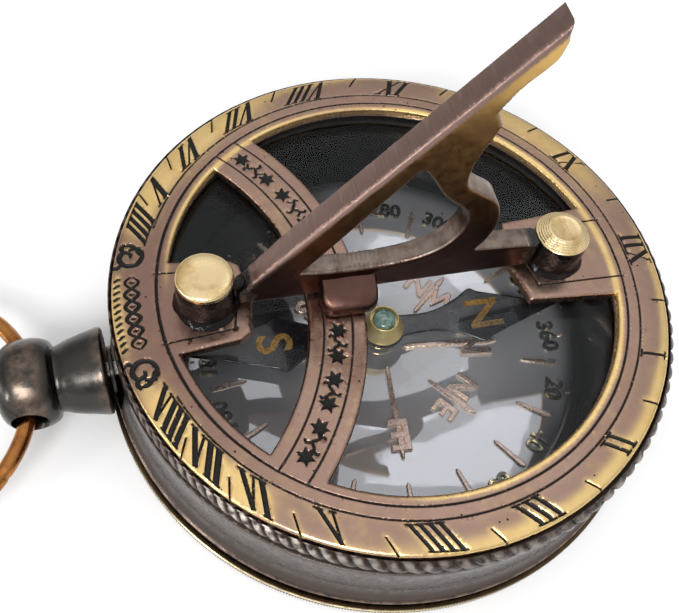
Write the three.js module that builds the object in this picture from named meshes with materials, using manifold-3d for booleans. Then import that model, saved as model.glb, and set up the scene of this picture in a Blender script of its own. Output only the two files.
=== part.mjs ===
// Pocket sundial compass: a round brass case with a compass under glass, and over it an
// open dial whose gnomon folds flat. Millimetres, +Z up, the origin at the centre of the
// resting face. +X points at the XII of the dial, and the pendant stands at the other end
// of the noon line.
import * as THREE from 'three';
import { mergeVertices } from 'three/addons/utils/BufferGeometryUtils.js';
import Module from 'manifold-3d';

const wasm = await Module();
wasm.setup();

// ---- driving dimensions ----
const CLEARANCE = 0.3; // left between pieces that touch
const CASE_HEIGHT = 19.0; // from the resting face to the top of the dial
const FLANGE_R = 39.8; // base cover
const CASE_R = 38.1; // wall of the case
const CASE_FOOT_R = 39.2; // lip that the wall spreads to just above the base cover
const BEZEL_R = 38.9; // rope edge
const CHAPTER_R = 37.5; // outside of the chapter ring
const OPENING_R = 30.4; // inside of the chapter ring

const DIAL_THICKNESS = 1.4;
const BRIDGE_CENTRE_X = -45; // the crescent bridge is a band round this point
const BRIDGE_R = [32.2, 39.8];

const GNOMON_THICKNESS = 3.4;
const GNOMON_ENDS = [-21.7, 18.6]; // where the base bar stops, along the noon line
const HINGE_HEIGHT = 3.2; // gnomon's pivot above the dial
const STYLE_TIP = [10.05, 42.6]; // along the noon line, and above the dial
const FOOT_X = [-11.3, -3.8]; // stop foot, which rests on the bridge
const FOOT_REACH = 5.2;

const POST_X = [-25.66, 22.56]; // south and north hinge posts
const POST_R = 3.65;
const POST_HEIGHT = 6.2;
const POST_SCREW_R = 1.0;
const POST_SCREW_HEAD_R = 1.85;
const POST_SCREW_TOP = 21.9;
const PIN_R = 0.8;
const PIN_IN_POST = 1.9;
const PIN_IN_GNOMON = 2.2;

const PENDANT_TURN = 2.5; // degrees off the noon line, because the bezel screws on
const PENDANT_HEIGHT = 7.8;
const STEM_FOOT = 39.5; // from the case's axis
const STEM_NECK_R = 4.6;
const COLLAR_R = 3.2;
const STUD_R = 1.0; // screw that holds the pendant, with a nut inside the case
const STUD_END = 42.8; // inside the stem
const HOLE_X = 50.2; // cross hole of the ball, from the case's axis
const HOLE_R = 2.1;
const BOW_R = 17; // centre line of the bow
const BOW_WIRE_R = 1.1;
const BOW_DROOP = 10.5; // degrees, until the bow lies on the table

// heights of the parts stacked inside the case, from the resting face
const FLANGE_TOP = 1.5;
const BASE_FLOOR = 0.9;
const COVER_SPIGOT_TOP = 3.6;
const BOWL_FLOOR = BASE_FLOOR + CLEARANCE;
const CARD_TOP = 2.4;
const NEEDLE_HEIGHT = 4.5;
const NEEDLE_THICKNESS = 0.4;
const HUB_SEAT = 6.9; // the jewel is set above it
const HUB_TOP = 7.7;
const JEWEL_TOP = 8.25;
const PIVOT_PIN_R = 0.5;
const DIAL_UNDERSIDE = CASE_HEIGHT - DIAL_THICKNESS;
const GLASS_THICKNESS = 1.6;
const GLASS_TOP = DIAL_UNDERSIDE - CLEARANCE;
const GASKET_TOP = GLASS_TOP - GLASS_THICKNESS - CLEARANCE;
const GASKET_THICKNESS = 0.7;
const BOWL_RIM_TOP = GASKET_TOP - GASKET_THICKNESS - CLEARANCE;
const BOWL_RIM_THICKNESS = 0.8;
const LEDGE_TOP = BOWL_RIM_TOP - BOWL_RIM_THICKNESS - CLEARANCE;
const BOWL_R = [31.2, 32.2];
const BOWL_RIM_R = 34.6;
const BOWL_SHEET = 0.4;
const CARD_R = 30.8;
const CARD_HOLE_R = 1.7;
const GLASS_R = 34.2;
const HUB_R = [3.2, 2.15]; // cone, at its foot and at its top
const HUB_STEM_R = 2.0;
const JEWEL_R = 1.7;

// the threads that hold the case together are left plain
const COVER_THREAD_R = 36.05; // between the cover's spigot and the wall
const BEZEL_THREAD_R = 37.05; // between the wall's spigot and the bezel
const SPIGOT_TOP = 16.1;
const SHOULDER = 12.9; // where the spigot of the wall starts

const ROUND = 48; // segments round a large ring
const SMALL = 20; // segments round a small part

// ---- materials ----
const finish = (color, roughness, metalness) =>
  new THREE.MeshStandardMaterial({ color, roughness, metalness });
const agedCopper = () => finish(0x7a5648, 0.38, 1);
const gildedBrass = () => finish(0xc9a552, 0.25, 1);
const darkBronze = () => finish(0x5a4238, 0.35, 1);
const gunmetal = () => finish(0x48423f, 0.3, 1);
const blackLacquer = () => finish(0x120f10, 0.12, 0.1);
const blackPaint = () => finish(0x0b0b0c, 0.35, 0.2);
const steel = () => finish(0x8e8c88, 0.3, 1);

// ---- geometry helpers ----
/** The geometry as a solid, with shared vertices merged and collapsed triangles left out. */
function solid(geometry) {
  const bare = geometry.clone();
  bare.deleteAttribute('normal');
  bare.deleteAttribute('uv');
  const merged = mergeVertices(bare, 1e-4);
  const index = merged.index.array;
  const kept = [];
  for (let i = 0; i < index.length; i += 3) {
    const [a, b, c] = index.slice(i, i + 3);
    if (a !== b && b !== c && c !== a) kept.push(a, b, c);
  }
  return new wasm.Manifold(new wasm.Mesh({
    numProp: 3,
    vertProperties: new Float32Array(merged.attributes.position.array),
    triVerts: new Uint32Array(kept),
  }));
}

/** A solid's surface as a three.js geometry. */
function surface(body) {
  const mesh = body.getMesh();
  const geometry = new THREE.BufferGeometry();
  geometry.setAttribute('position', new THREE.BufferAttribute(mesh.vertProperties, 3));
  geometry.setIndex(new THREE.BufferAttribute(mesh.triVerts, 1));
  geometry.computeVertexNormals();
  return geometry;
}

/** Turns a closed outline of [radius, height] points, listed anticlockwise, round +Z. */
function turned(outline, segments) {
  const points = outline.map(([r, z]) => new THREE.Vector2(r, z));
  const onAxis = points[0].x === 0 && points.at(-1).x === 0;
  if (!onAxis) points.push(points[0].clone());
  return solid(new THREE.LatheGeometry(points, segments).rotateX(Math.PI / 2));
}

/** A plain ring between two heights, or a disc where the inner radius is 0. */
function ring(inner, outer, low, high, segments) {
  return turned([[inner, low], [outer, low], [outer, high], [inner, high]], segments);
}

/** A round rod along +Z, moved to x, y. */
function rod(radius, low, high, x = 0, y = 0) {
  return ring(0, radius, low, high, SMALL).translate([x, y, 0]);
}

/** An outline in the X-Y plane, with holes, raised from one height to another. */
function plate(outline, low, high, holes = []) {
  const shape = new THREE.Shape(outline);
  shape.holes = holes.map((hole) => new THREE.Path(hole));
  const options = { depth: high - low, bevelEnabled: false };
  return solid(new THREE.ExtrudeGeometry(shape, options).translate(0, 0, low));
}

/** Points along a smooth open curve through the given [x, y] points. */
function smooth(through, count) {
  const points = through.map(([x, y]) => new THREE.Vector3(x, y, 0));
  const curve = new THREE.CatmullRomCurve3(points, false, 'centripetal');
  return curve.getPoints(count).map(({ x, y }) => new THREE.Vector2(x, y));
}

const corners = (list) => list.map(([x, y]) => new THREE.Vector2(x, y));

// ---- case ----
function baseCover() {
  const spigot = [34.0, COVER_THREAD_R - CLEARANCE / 2];
  const chamfer = 0.3;
  return turned([
    [0, 0],
    [FLANGE_R - chamfer, 0],
    [FLANGE_R, chamfer],
    [FLANGE_R, FLANGE_TOP - chamfer],
    [FLANGE_R - chamfer, FLANGE_TOP],
    [spigot[1], FLANGE_TOP],
    [spigot[1], COVER_SPIGOT_TOP],
    [spigot[0], COVER_SPIGOT_TOP],
    [spigot[0], BASE_FLOOR],
    [0, BASE_FLOOR],
  ], ROUND);
}

function caseBody() {
  const inside = COVER_THREAD_R + CLEARANCE / 2;
  const spigot = [BOWL_RIM_R + CLEARANCE, BEZEL_THREAD_R - CLEARANCE / 2];
  const neck = CASE_FOOT_R - 0.7; // recess between the lip and the base cover
  const ledge = BOWL_R[1] + CLEARANCE;
  const wall = turned([
    [inside, FLANGE_TOP + CLEARANCE],
    [neck, FLANGE_TOP + CLEARANCE],
    [neck, 2.3],
    [CASE_FOOT_R, 2.5],
    [CASE_FOOT_R, 3.0],
    [CASE_R + 0.7, 3.5],
    [CASE_R + 0.3, 4.3],
    [CASE_R + 0.05, 5.5],
    [CASE_R, 7.0],
    [CASE_R, SHOULDER],
    [spigot[1], SHOULDER],
    [spigot[1], SPIGOT_TOP],
    [spigot[0], SPIGOT_TOP],
    [spigot[0], LEDGE_TOP],
    [ledge, LEDGE_TOP],
    [ledge, LEDGE_TOP - 1.2],
    [inside, LEDGE_TOP - 2.4],
  ], ROUND);
  const studHole = rod(STUD_R + 0.8, 30, 45).rotate([0, -90, 0]);
  return wall.subtract(studHole.translate([0, 0, PENDANT_HEIGHT]).rotate([0, 0, PENDANT_TURN]));
}

/** Ring that screws on over the wall, with a bulging edge and a lip that holds the glass. */
function ropeBezel() {
  const low = SHOULDER + CLEARANCE;
  const high = 18.4;
  const bore = BEZEL_THREAD_R + CLEARANCE / 2;
  const edge = BEZEL_R - 0.7;
  const seat = CHAPTER_R + CLEARANCE;
  const lip = GLASS_R + CLEARANCE;
  return turned([
    [bore, low],
    [edge, low],
    [BEZEL_R - 0.15, low + 0.8],
    [BEZEL_R, (low + high) / 2],
    [BEZEL_R - 0.15, high - 0.8],
    [edge, high],
    [seat, high],
    [seat, DIAL_UNDERSIDE - CLEARANCE],
    [lip, DIAL_UNDERSIDE - CLEARANCE],
    [lip, SPIGOT_TOP + CLEARANCE],
    [bore, SPIGOT_TOP + CLEARANCE],
  ], ROUND);
}

// ---- compass ----
/** Cup that hangs by its rim on the ledge of the case. */
function compassBowl() {
  return turned([
    [CARD_HOLE_R, BOWL_FLOOR],
    [BOWL_R[1], BOWL_FLOOR],
    [BOWL_R[1], BOWL_RIM_TOP - BOWL_RIM_THICKNESS],
    [BOWL_RIM_R, BOWL_RIM_TOP - BOWL_RIM_THICKNESS],
    [BOWL_RIM_R, BOWL_RIM_TOP],
    [BOWL_R[0], BOWL_RIM_TOP],
    [BOWL_R[0], BOWL_FLOOR + BOWL_SHEET],
    [CARD_HOLE_R, BOWL_FLOOR + BOWL_SHEET],
  ], ROUND);
}

/** Brass boss riveted through the card, drilled for the pin. */
function pivotBoss() {
  const bore = PIVOT_PIN_R + CLEARANCE;
  const shank = CARD_HOLE_R - CLEARANCE;
  const foot = BOWL_FLOOR + 0.2;
  const head = CARD_TOP + CLEARANCE;
  const headR = 2.6;
  return turned([
    [bore, foot],
    [shank, foot],
    [shank, head],
    [headR, head],
    [headR, head + 0.4],
    [headR - 1, head + 0.6],
    [bore, head + 0.6],
  ], SMALL);
}

/** Sharp pin that the needle's jewel runs on. */
function pivotPin() {
  const foot = BOWL_FLOOR + BOWL_SHEET;
  const point = HUB_SEAT + 0.1;
  return turned([[0, foot], [PIVOT_PIN_R, foot], [PIVOT_PIN_R, point - 0.8], [0, point]], 16);
}

/** A broad pointer: narrow by the hub, shouldered near the end, and sharp at the tip. */
function compassNeedle() {
  const half = (sign) => {
    const side = [[1.2, 1.9], [8, 1.7], [12.4, 3.2], [15.2, 4.7], [16.2, 4.1], [21, 2.4]];
    const upper = smooth(side, 14).map(({ x, y }) => new THREE.Vector2(sign * x, sign * y));
    const tip = new THREE.Vector2(sign * 28.6, 0);
    const lower = upper.map(({ x, y }) => new THREE.Vector2(x, -y)).reverse();
    return [...upper, tip, ...lower];
  };
  const top = NEEDLE_HEIGHT + NEEDLE_THICKNESS;
  const blade = (sign) => plate(half(sign), NEEDLE_HEIGHT, top);
  const middle = ring(0, HUB_R[0] + 0.2, NEEDLE_HEIGHT, top, SMALL);
  return blade(1).add(blade(-1)).add(middle).subtract(rod(HUB_STEM_R + CLEARANCE, 0, 10));
}

/** Brass cap of the needle: a stem through the needle under a cone that holds the jewel. */
function needleHub() {
  const over = NEEDLE_HEIGHT + NEEDLE_THICKNESS + CLEARANCE;
  const bore = PIVOT_PIN_R + 0.4;
  const setting = JEWEL_R + CLEARANCE;
  return turned([
    [bore, NEEDLE_HEIGHT - 0.4],
    [HUB_STEM_R, NEEDLE_HEIGHT - 0.4],
    [HUB_STEM_R, over],
    [HUB_R[0], over],
    [HUB_R[0], over + 0.2],
    [HUB_R[1], HUB_TOP],
    [setting, HUB_TOP],
    [setting, HUB_SEAT],
    [bore, HUB_SEAT],
  ], SMALL);
}

/** Jewel of the cap, with the cup underneath that runs on the pin. */
function jewelCup() {
  const foot = HUB_SEAT + CLEARANCE;
  return turned([
    [0, foot + 0.3],
    [0.5, foot],
    [JEWEL_R, foot],
    [JEWEL_R, HUB_TOP],
    [JEWEL_R - 0.6, JEWEL_TOP - 0.15],
    [0, JEWEL_TOP],
  ], SMALL);
}

// ---- dial ----
/** Points of an arc round (x, 0), between two angles in radians. */
function arc(radius, x, from, to, count) {
  return Array.from({ length: count }, (_, i) => {
    const angle = from + ((to - from) * i) / (count - 1);
    return new THREE.Vector2(x + radius * Math.cos(angle), radius * Math.sin(angle));
  });
}

function dialPlate() {
  const low = DIAL_UNDERSIDE;
  const middle = (OPENING_R + CHAPTER_R) / 2;
  const chapter = ring(OPENING_R, CHAPTER_R, low, CASE_HEIGHT, 64);
  const reach = 0.95; // the bridge's ends stop inside the chapter ring
  const bridge = plate(
    [...arc(BRIDGE_R[1], BRIDGE_CENTRE_X, -reach, reach, 28),
      ...arc(BRIDGE_R[0], BRIDGE_CENTRE_X, reach, -reach, 28)],
    low, CASE_HEIGHT,
  );
  const disc = ring(0, middle, low, CASE_HEIGHT, 64);
  const northTab = plate(
    corners([[middle, -7.8], [middle, 7.8], [17.3, 6.5], [15.9, 0], [17.3, -6.5]]),
    low, CASE_HEIGHT,
  );
  const southTab = plate(
    corners([[-middle, 7.4], [-middle, -7.4], [-21.9, -6.1], [-20.6, -5.2], [-19.6, 0],
      [-20.6, 5.2], [-21.9, 6.1]]),
    low, CASE_HEIGHT,
  );
  let dial = chapter.add(bridge.intersect(disc)).add(northTab).add(southTab);
  for (const x of POST_X) {
    const head = POST_SCREW_HEAD_R + 0.45;
    const shank = POST_SCREW_R + CLEARANCE;
    const countersink = turned([
      [0, low - 1], [head, low - 1], [head, low], [shank, low + 1], [shank, CASE_HEIGHT + 1],
      [0, CASE_HEIGHT + 1],
    ], SMALL);
    dial = dial.subtract(countersink.translate([x, 0, 0]));
  }
  return dial;
}

/** Pillar of the hinge: threaded from below, drilled for the hinge pin on one side. */
function hingePost(x, facing) {
  const foot = CASE_HEIGHT + CLEARANCE;
  const top = CASE_HEIGHT + POST_HEIGHT;
  const pillar = turned([
    [0, foot],
    [POST_R, foot],
    [POST_R, top - 0.5],
    [POST_R - 0.15, top - 0.15],
    [POST_R - 0.5, top],
    [2.0, top],
    [1.6, top - 0.15],
    [0, top - 0.2],
  ], 28);
  const thread = rod(POST_SCREW_R + CLEARANCE, foot - 1, POST_SCREW_TOP + 0.4);
  const pinHole = rod(PIN_R + CLEARANCE, 0, 3).rotate([0, 90, 0]);
  const turn = facing > 0 ? 0 : 180;
  const start = facing * (POST_R - PIN_IN_POST);
  const drilled = pillar.subtract(thread).subtract(
    pinHole.rotate([0, 0, turn]).translate([start, 0, CASE_HEIGHT + HINGE_HEIGHT]),
  );
  return drilled.translate([x, 0, 0]);
}

function postScrew(x) {
  const low = DIAL_UNDERSIDE + 0.1;
  const screw = turned([
    [0, low], [POST_SCREW_HEAD_R, low], [POST_SCREW_R, low + 0.9], [POST_SCREW_R, POST_SCREW_TOP],
    [0, POST_SCREW_TOP],
  ], SMALL);
  const slot = solid(new THREE.BoxGeometry(5, 0.5, 0.6).translate(0, 0, low));
  return screw.subtract(slot).translate([x, 0, 0]);
}

// ---- gnomon ----
/** Upright plate with a stop foot that stands on the bridge, its pivot at height 0. */
function gnomonPlate() {
  const [south, north] = GNOMON_ENDS;
  const [tipX, tipZ] = STYLE_TIP;
  const bottom = 0.7;
  const scroll = smooth([
    [9.2, 6.2], [10.3, 8.6], [10.8, 12.2], [9.6, 16.0], [7.0, 18.2], [5.0, 20.0],
    [4.7, 23.0], [5.9, 27.6], [6.4, 29.6],
  ], 22);
  const nose = smooth([
    [5.4, 31.6], [7.25, 35.1], [8.85, 37.0], [9.75, 38.3], [10.1, 39.8], [10.15, 41.4], [tipX, tipZ],
  ], 14);
  const outline = [
    ...corners([[south, bottom], [north, bottom], [north, 5.4]]),
    ...scroll,
    ...nose,
    ...corners([[-21.0, 3.7], [south, 2.9]]),
  ];
  const hole = [
    ...smooth([[-13.9, 5.8], [-9.4, 5.3], [-3.0, 5.3], [1.8, 6.3], [4.8, 8.3], [6.3, 11.6],
      [6.1, 14.2], [5.0, 15.8], [2.5, 18.2], [0.6, 21.2], [-0.9, 23.4]], 30),
    ...corners([[-1.7, 23.2]]),
  ];
  const half = GNOMON_THICKNESS / 2;
  const upright = plate(outline, -half, half, [hole]).rotate([90, 0, 0]);
  return upright.add(stopFoot()).translate([0, 0, -HINGE_HEIGHT]);
}

function stopFoot() {
  const [west, east] = FOOT_X;
  const corner = 1.6;
  const plan = corners([
    [west, 0],
    [west, -FOOT_REACH + corner],
    [west + corner * 0.3, -FOOT_REACH + corner * 0.3],
    [west + corner, -FOOT_REACH],
    [east - corner, -FOOT_REACH],
    [east - corner * 0.3, -FOOT_REACH + corner * 0.3],
    [east, -FOOT_REACH + corner],
    [east, 0],
  ]);
  const block = plate(plan, CLEARANCE, 4.2);
  const slope = solid(new THREE.BoxGeometry(20, 12, 6).translate(0, 0, 3)
    .rotateX(THREE.MathUtils.degToRad(38)).translate(-7.5, -FOOT_REACH, 1.1));
  return block.subtract(slope);
}

/** The gnomon with its pivot along X through the origin, drilled at both ends. */
function gnomon() {
  const depth = PIN_IN_GNOMON + CLEARANCE;
  const bore = (x) => rod(PIN_R + CLEARANCE, -depth, depth).rotate([0, 90, 0]).translate([x, 0, 0]);
  return gnomonPlate().subtract(bore(GNOMON_ENDS[0])).subtract(bore(GNOMON_ENDS[1]));
}

/** Pin pressed into a post, on which one end of the gnomon turns. */
function hingePin(inGnomon, inPost) {
  const low = Math.min(inGnomon, inPost);
  const high = Math.max(inGnomon, inPost);
  return rod(PIN_R, low, high).rotate([0, 90, 0]).translate([0, 0, CASE_HEIGHT + HINGE_HEIGHT]);
}

// ---- pendant, built along +Z from the case's axis and then laid over towards -X ----
function pendantCollar() {
  return ring(STUD_R + CLEARANCE, COLLAR_R, CASE_R + 0.5, STEM_FOOT - CLEARANCE, 28);
}

function pendantStem() {
  const stem = turned([
    [0, STEM_FOOT],
    [5.7, STEM_FOOT],
    [6.0, STEM_FOOT + 0.4],
    [6.0, STEM_FOOT + 0.8],
    [STEM_NECK_R, 45.6],
    [4.4, 45.9],
    [5.3, 46.4],
    [5.9, 47.6],
    [6.1, 49.6],
    [5.8, 51.6],
    [4.8, 53.0],
    [3.2, 53.8],
    [0, 54.0],
  ], 32);
  const crossHole = rod(HOLE_R, -10, 10).rotate([90, 0, 0]).translate([0, 0, HOLE_X]);
  const stud = rod(STUD_R + CLEARANCE, STEM_FOOT - 1, STUD_END + 0.4);
  return stem.subtract(crossHole).subtract(stud);
}

const pendantStud = () => rod(STUD_R, 33.6, STUD_END);

/** Hexagonal nut on the stud, against the inside of the wall. */
function pendantNut() {
  const hexagon = ring(0, 2.4, 34.2, 35.7, 6);
  return hexagon.subtract(rod(STUD_R + CLEARANCE, 30, 40));
}

/** Bow, lying in the plane of the cross hole's axis, with that axis along Y through the origin. */
function bowRing() {
  const play = HOLE_R - BOW_WIRE_R - 0.4; // the wire bends through a straight hole
  return new THREE.TorusGeometry(BOW_R, BOW_WIRE_R, 10, 44).translate(play - BOW_R, 0, 0);
}

// ---- assembly ----
const sundial = new THREE.Group();

/** Adds a named piece to a group, from a solid or from a closed geometry. */
function add(group, name, shape, material) {
  const geometry = shape.isBufferGeometry ? shape : surface(shape);
  const mesh = new THREE.Mesh(geometry, material);
  mesh.name = name;
  group.add(mesh);
}

const caseGroup = new THREE.Group();
add(caseGroup, 'base_cover', baseCover(), gildedBrass());
add(caseGroup, 'case_body', caseBody(), gunmetal());
add(caseGroup, 'rope_bezel', ropeBezel(), gunmetal());
sundial.add(caseGroup);

const compass = new THREE.Group();
const cardBottom = BOWL_FLOOR + BOWL_SHEET + CLEARANCE;
add(compass, 'compass_bowl', compassBowl(), blackPaint());
const card = ring(CARD_HOLE_R, CARD_R, cardBottom, CARD_TOP, ROUND);
add(compass, 'compass_card', card, blackPaint());
add(compass, 'pivot_boss', pivotBoss(), gildedBrass());
add(compass, 'pivot_pin', pivotPin(), steel());
add(compass, 'compass_needle', compassNeedle(), blackPaint());
add(compass, 'needle_hub', needleHub(), gildedBrass());
add(compass, 'jewel_cup', jewelCup(), finish(0x6f8f80, 0.15, 0));
const gasketLow = GASKET_TOP - GASKET_THICKNESS;
const gasket = ring(BOWL_R[0] + 0.4, GLASS_R + 0.2, gasketLow, GASKET_TOP, ROUND);
add(compass, 'crystal_gasket', gasket, blackPaint());
const glass = ring(0, GLASS_R, GLASS_TOP - GLASS_THICKNESS, GLASS_TOP, ROUND);
add(compass, 'crystal_glass', glass, finish(0xdfe6ea, 0.02, 0));
sundial.add(compass);

const dial = new THREE.Group();
add(dial, 'dial_plate', dialPlate(), agedCopper());
['south', 'north'].forEach((end, i) => {
  const x = POST_X[i];
  const inward = -Math.sign(x);
  const inGnomon = GNOMON_ENDS[i] + inward * PIN_IN_GNOMON;
  const inPost = x + inward * (POST_R - PIN_IN_POST + CLEARANCE);
  add(dial, `post_${end}`, hingePost(x, inward), blackLacquer());
  add(dial, `post_screw_${end}`, postScrew(x), gildedBrass());
  add(dial, `gnomon_pin_${end}`, hingePin(inGnomon, inPost), steel());
});
sundial.add(dial);

const hinge = new THREE.Group();
hinge.position.z = CASE_HEIGHT + HINGE_HEIGHT;
add(hinge, 'gnomon', gnomon(), darkBronze());
sundial.add(hinge);

const pendant = new THREE.Group();
pendant.position.z = PENDANT_HEIGHT;
pendant.rotation.z = THREE.MathUtils.degToRad(PENDANT_TURN);
const outward = new THREE.Group();
outward.rotation.y = -Math.PI / 2;
add(outward, 'pendant_collar', pendantCollar(), gunmetal());
add(outward, 'pendant_stem', pendantStem(), gunmetal());
add(outward, 'pendant_stud', pendantStud(), steel());
add(outward, 'pendant_nut', pendantNut(), gildedBrass());
pendant.add(outward);
const swing = new THREE.Group();
swing.position.x = -HOLE_X;
swing.rotation.y = -THREE.MathUtils.degToRad(BOW_DROOP);
add(swing, 'bow_ring', bowRing(), finish(0x8a5426, 0.3, 1));
pendant.add(swing);
sundial.add(pendant);

export default sundial;
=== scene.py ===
"""Looks of the pocket sundial compass: fine engraved, turned and cast surfaces in place of the
faceted design solids, each riding on the body it belongs to. Lengths are millimetres until a
mesh is made; angles round the dial run anticlockwise from XII, which lies along +X."""
import math

import bpy
import numpy as np
from mathutils import Matrix, Vector
from mathutils.geometry import delaunay_2d_cdt


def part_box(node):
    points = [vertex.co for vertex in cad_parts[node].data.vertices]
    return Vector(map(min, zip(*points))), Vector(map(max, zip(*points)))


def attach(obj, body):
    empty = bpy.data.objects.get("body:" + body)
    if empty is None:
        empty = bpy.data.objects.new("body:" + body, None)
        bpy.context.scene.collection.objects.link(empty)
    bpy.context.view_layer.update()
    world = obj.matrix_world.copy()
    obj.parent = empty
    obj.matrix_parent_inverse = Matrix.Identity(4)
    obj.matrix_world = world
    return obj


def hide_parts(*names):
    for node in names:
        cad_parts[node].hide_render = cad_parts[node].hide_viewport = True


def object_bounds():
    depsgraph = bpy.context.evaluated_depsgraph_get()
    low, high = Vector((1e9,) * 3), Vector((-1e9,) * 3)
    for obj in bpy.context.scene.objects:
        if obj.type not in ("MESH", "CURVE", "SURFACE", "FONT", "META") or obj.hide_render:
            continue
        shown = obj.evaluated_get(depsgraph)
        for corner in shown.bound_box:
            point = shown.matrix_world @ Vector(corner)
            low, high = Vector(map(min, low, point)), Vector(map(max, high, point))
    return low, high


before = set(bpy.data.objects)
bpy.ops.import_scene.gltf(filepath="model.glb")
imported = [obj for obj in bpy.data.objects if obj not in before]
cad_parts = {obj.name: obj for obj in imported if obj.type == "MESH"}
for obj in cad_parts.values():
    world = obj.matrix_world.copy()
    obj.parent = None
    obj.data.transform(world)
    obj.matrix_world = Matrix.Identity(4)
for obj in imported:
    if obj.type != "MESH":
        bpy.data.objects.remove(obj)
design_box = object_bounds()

MM = 0.001
TAU = 2 * math.pi


def low(node):
    return np.array(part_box(node)[0]) / MM


def high(node):
    return np.array(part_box(node)[1]) / MM


# ---- places taken from the frame ----
DIAL_TOP = high("dial_plate")[2]
DIAL_LOW = low("dial_plate")[2]
CHAPTER_R = high("dial_plate")[0]
BEZEL_R = high("rope_bezel")[0]
BEZEL_LOW, BEZEL_HIGH = low("rope_bezel")[2], high("rope_bezel")[2]
CASE_R = high("case_body")[0]
COVER_R = high("base_cover")[0]
CARD_TOP = high("compass_card")[2]
CARD_R = high("compass_card")[0]
BOWL_R = high("compass_bowl")[0]
GLASS_LOW, GLASS_TOP = low("crystal_glass")[2], high("crystal_glass")[2]
NEEDLE_TOP = high("compass_needle")[2]
NEEDLE_LOW = low("compass_needle")[2]
POST_TOP = high("post_north")[2]
POST_R = (high("post_north")[0] - low("post_north")[0]) / 2
POST_X = {end: (low("post_" + end)[0] + high("post_" + end)[0]) / 2 for end in ("south", "north")}
PENDANT_Z = (low("pendant_collar")[2] + high("pendant_collar")[2]) / 2

# ---- places that no node's box gives ----
COVER_TOP, COVER_FLOOR = 1.5, 0.9
PIVOT_HOLE_R = 1.7
PENDANT_TURN = math.radians(2.5)
BOW_HOLE = 50.2

# ---- plan of the dial ----
OPENING_R = 30.4
BRIDGE_X = -45.0
BRIDGE_IN, BRIDGE_OUT = 32.2, 39.8
BRIDGE_LINES = (BRIDGE_IN + 1.95, BRIDGE_OUT - 1.95)
INNER_GROOVE, OUTER_GROOVE = 31.75, 33.4
NUMERAL_R = 35.35
CHAPTER_MIDDLE = (OPENING_R + CHAPTER_R) / 2
ENGRAVED = 0.24
RIM_ROUND = 0.45
NORTH_TAB = [(CHAPTER_MIDDLE, -7.8), (CHAPTER_MIDDLE, 7.8), (17.3, 6.5), (15.9, 0), (17.3, -6.5)]
SOUTH_TAB = [(-CHAPTER_MIDDLE, 7.4), (-CHAPTER_MIDDLE, -7.4), (-21.9, -6.1), (-20.6, -5.2),
             (-19.6, 0), (-20.6, 5.2), (-21.9, 6.1)]


# ---- small geometry ----
def arc(radius, start, end, count, x=0.0):
    angle = np.linspace(start, end, count)
    return np.stack([x + radius * np.cos(angle), radius * np.sin(angle)], 1)


def circle(radius, count, x=0.0):
    return arc(radius, 0, TAU * (1 - 1 / count), count, x)


def lattice(x_range, y_range, step, stagger=0.0):
    """Points a step apart over a rectangle, with every other row shifted by the stagger."""
    x, y = np.meshgrid(np.arange(*x_range, step), np.arange(*y_range, step))
    x[1::2] += stagger
    return np.stack([x.ravel(), y.ravel()], 1)


def smooth_line(through, count):
    """Points along a centripetal curve through the given ones."""
    given = np.array(through, float)
    first, last = 2 * given[0] - given[1], 2 * given[-1] - given[-2]
    p = np.vstack([first, given, last])
    share = np.linspace(0, len(given) - 1, count)
    out = []
    for s in share:
        i = min(int(s), len(given) - 2)
        a, b, c, d = p[i : i + 4]
        knots = np.cumsum([0] + [max(np.linalg.norm(v - u) ** 0.5, 1e-6)
                                 for u, v in ((a, b), (b, c), (c, d))])
        t = knots[1] + (s - i) * (knots[2] - knots[1])

        def between(u, v, k, m):
            return u + (v - u) * (t - knots[k]) / (knots[m] - knots[k])

        ab, bc, cd = between(a, b, 0, 1), between(b, c, 1, 2), between(c, d, 2, 3)
        out.append(between(between(ab, bc, 0, 2), between(bc, cd, 1, 3), 1, 2))
    return np.array(out)


def softened(profile, radius, steps=4, closed=True):
    """The profile with each corner rounded by up to the radius."""
    p = [np.array(q, float) for q in profile]
    out = []
    for i, corner in enumerate(p):
        if not closed and i in (0, len(p) - 1):
            out.append(corner)
            continue
        before, after = p[i - 1] - corner, p[(i + 1) % len(p)] - corner
        cut = [min(radius, 0.45 * np.linalg.norm(v)) * v / np.linalg.norm(v) for v in (before, after)]
        for t in np.linspace(0, 1, steps + 1):
            out.append(corner + (1 - t) ** 2 * cut[0] + t ** 2 * cut[1])
    return np.array(out)


def finely(profile, step, closed=True):
    """The profile with long edges divided."""
    out = []
    count = len(profile)
    for i in range(count if closed else count - 1):
        a, b = np.array(profile[i], float), np.array(profile[(i + 1) % count], float)
        n = max(1, int(math.ceil(np.linalg.norm(b - a) / step)))
        out += [a + (b - a) * k / n for k in range(n)]
    if not closed:
        out.append(np.array(profile[-1], float))
    return np.array(out)


def polygon_distance(points, polygon):
    """Distance of each point to the polygon's edge, positive inside."""
    poly = np.asarray(polygon, float)
    best = np.full(len(points), 1e9)
    inside = np.zeros(len(points), bool)
    for a, b in zip(poly, np.roll(poly, -1, 0)):
        e = b - a
        w = points - a
        t = np.clip((w @ e) / max(e @ e, 1e-12), 0, 1)
        best = np.minimum(best, np.hypot(*(w - t[:, None] * e).T))
        crosses = (a[1] > points[:, 1]) != (b[1] > points[:, 1])
        at = a[0] + (points[:, 1] - a[1]) * e[0] / (e[1] if abs(e[1]) > 1e-12 else 1e-12)
        inside ^= crosses & (points[:, 0] < at)
    return np.where(inside, best, -best)


def from_axis(points):
    """Distance of each point from the dial's axis."""
    return np.hypot(points[:, 0], points[:, 1])


def degrees_round(points):
    return np.degrees(np.arctan2(points[:, 1], points[:, 0]))


def turn_from(angle, middle):
    """How far each angle is from the middle one, up to half a turn either way."""
    return (angle - middle + math.pi) % TAU - math.pi


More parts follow.
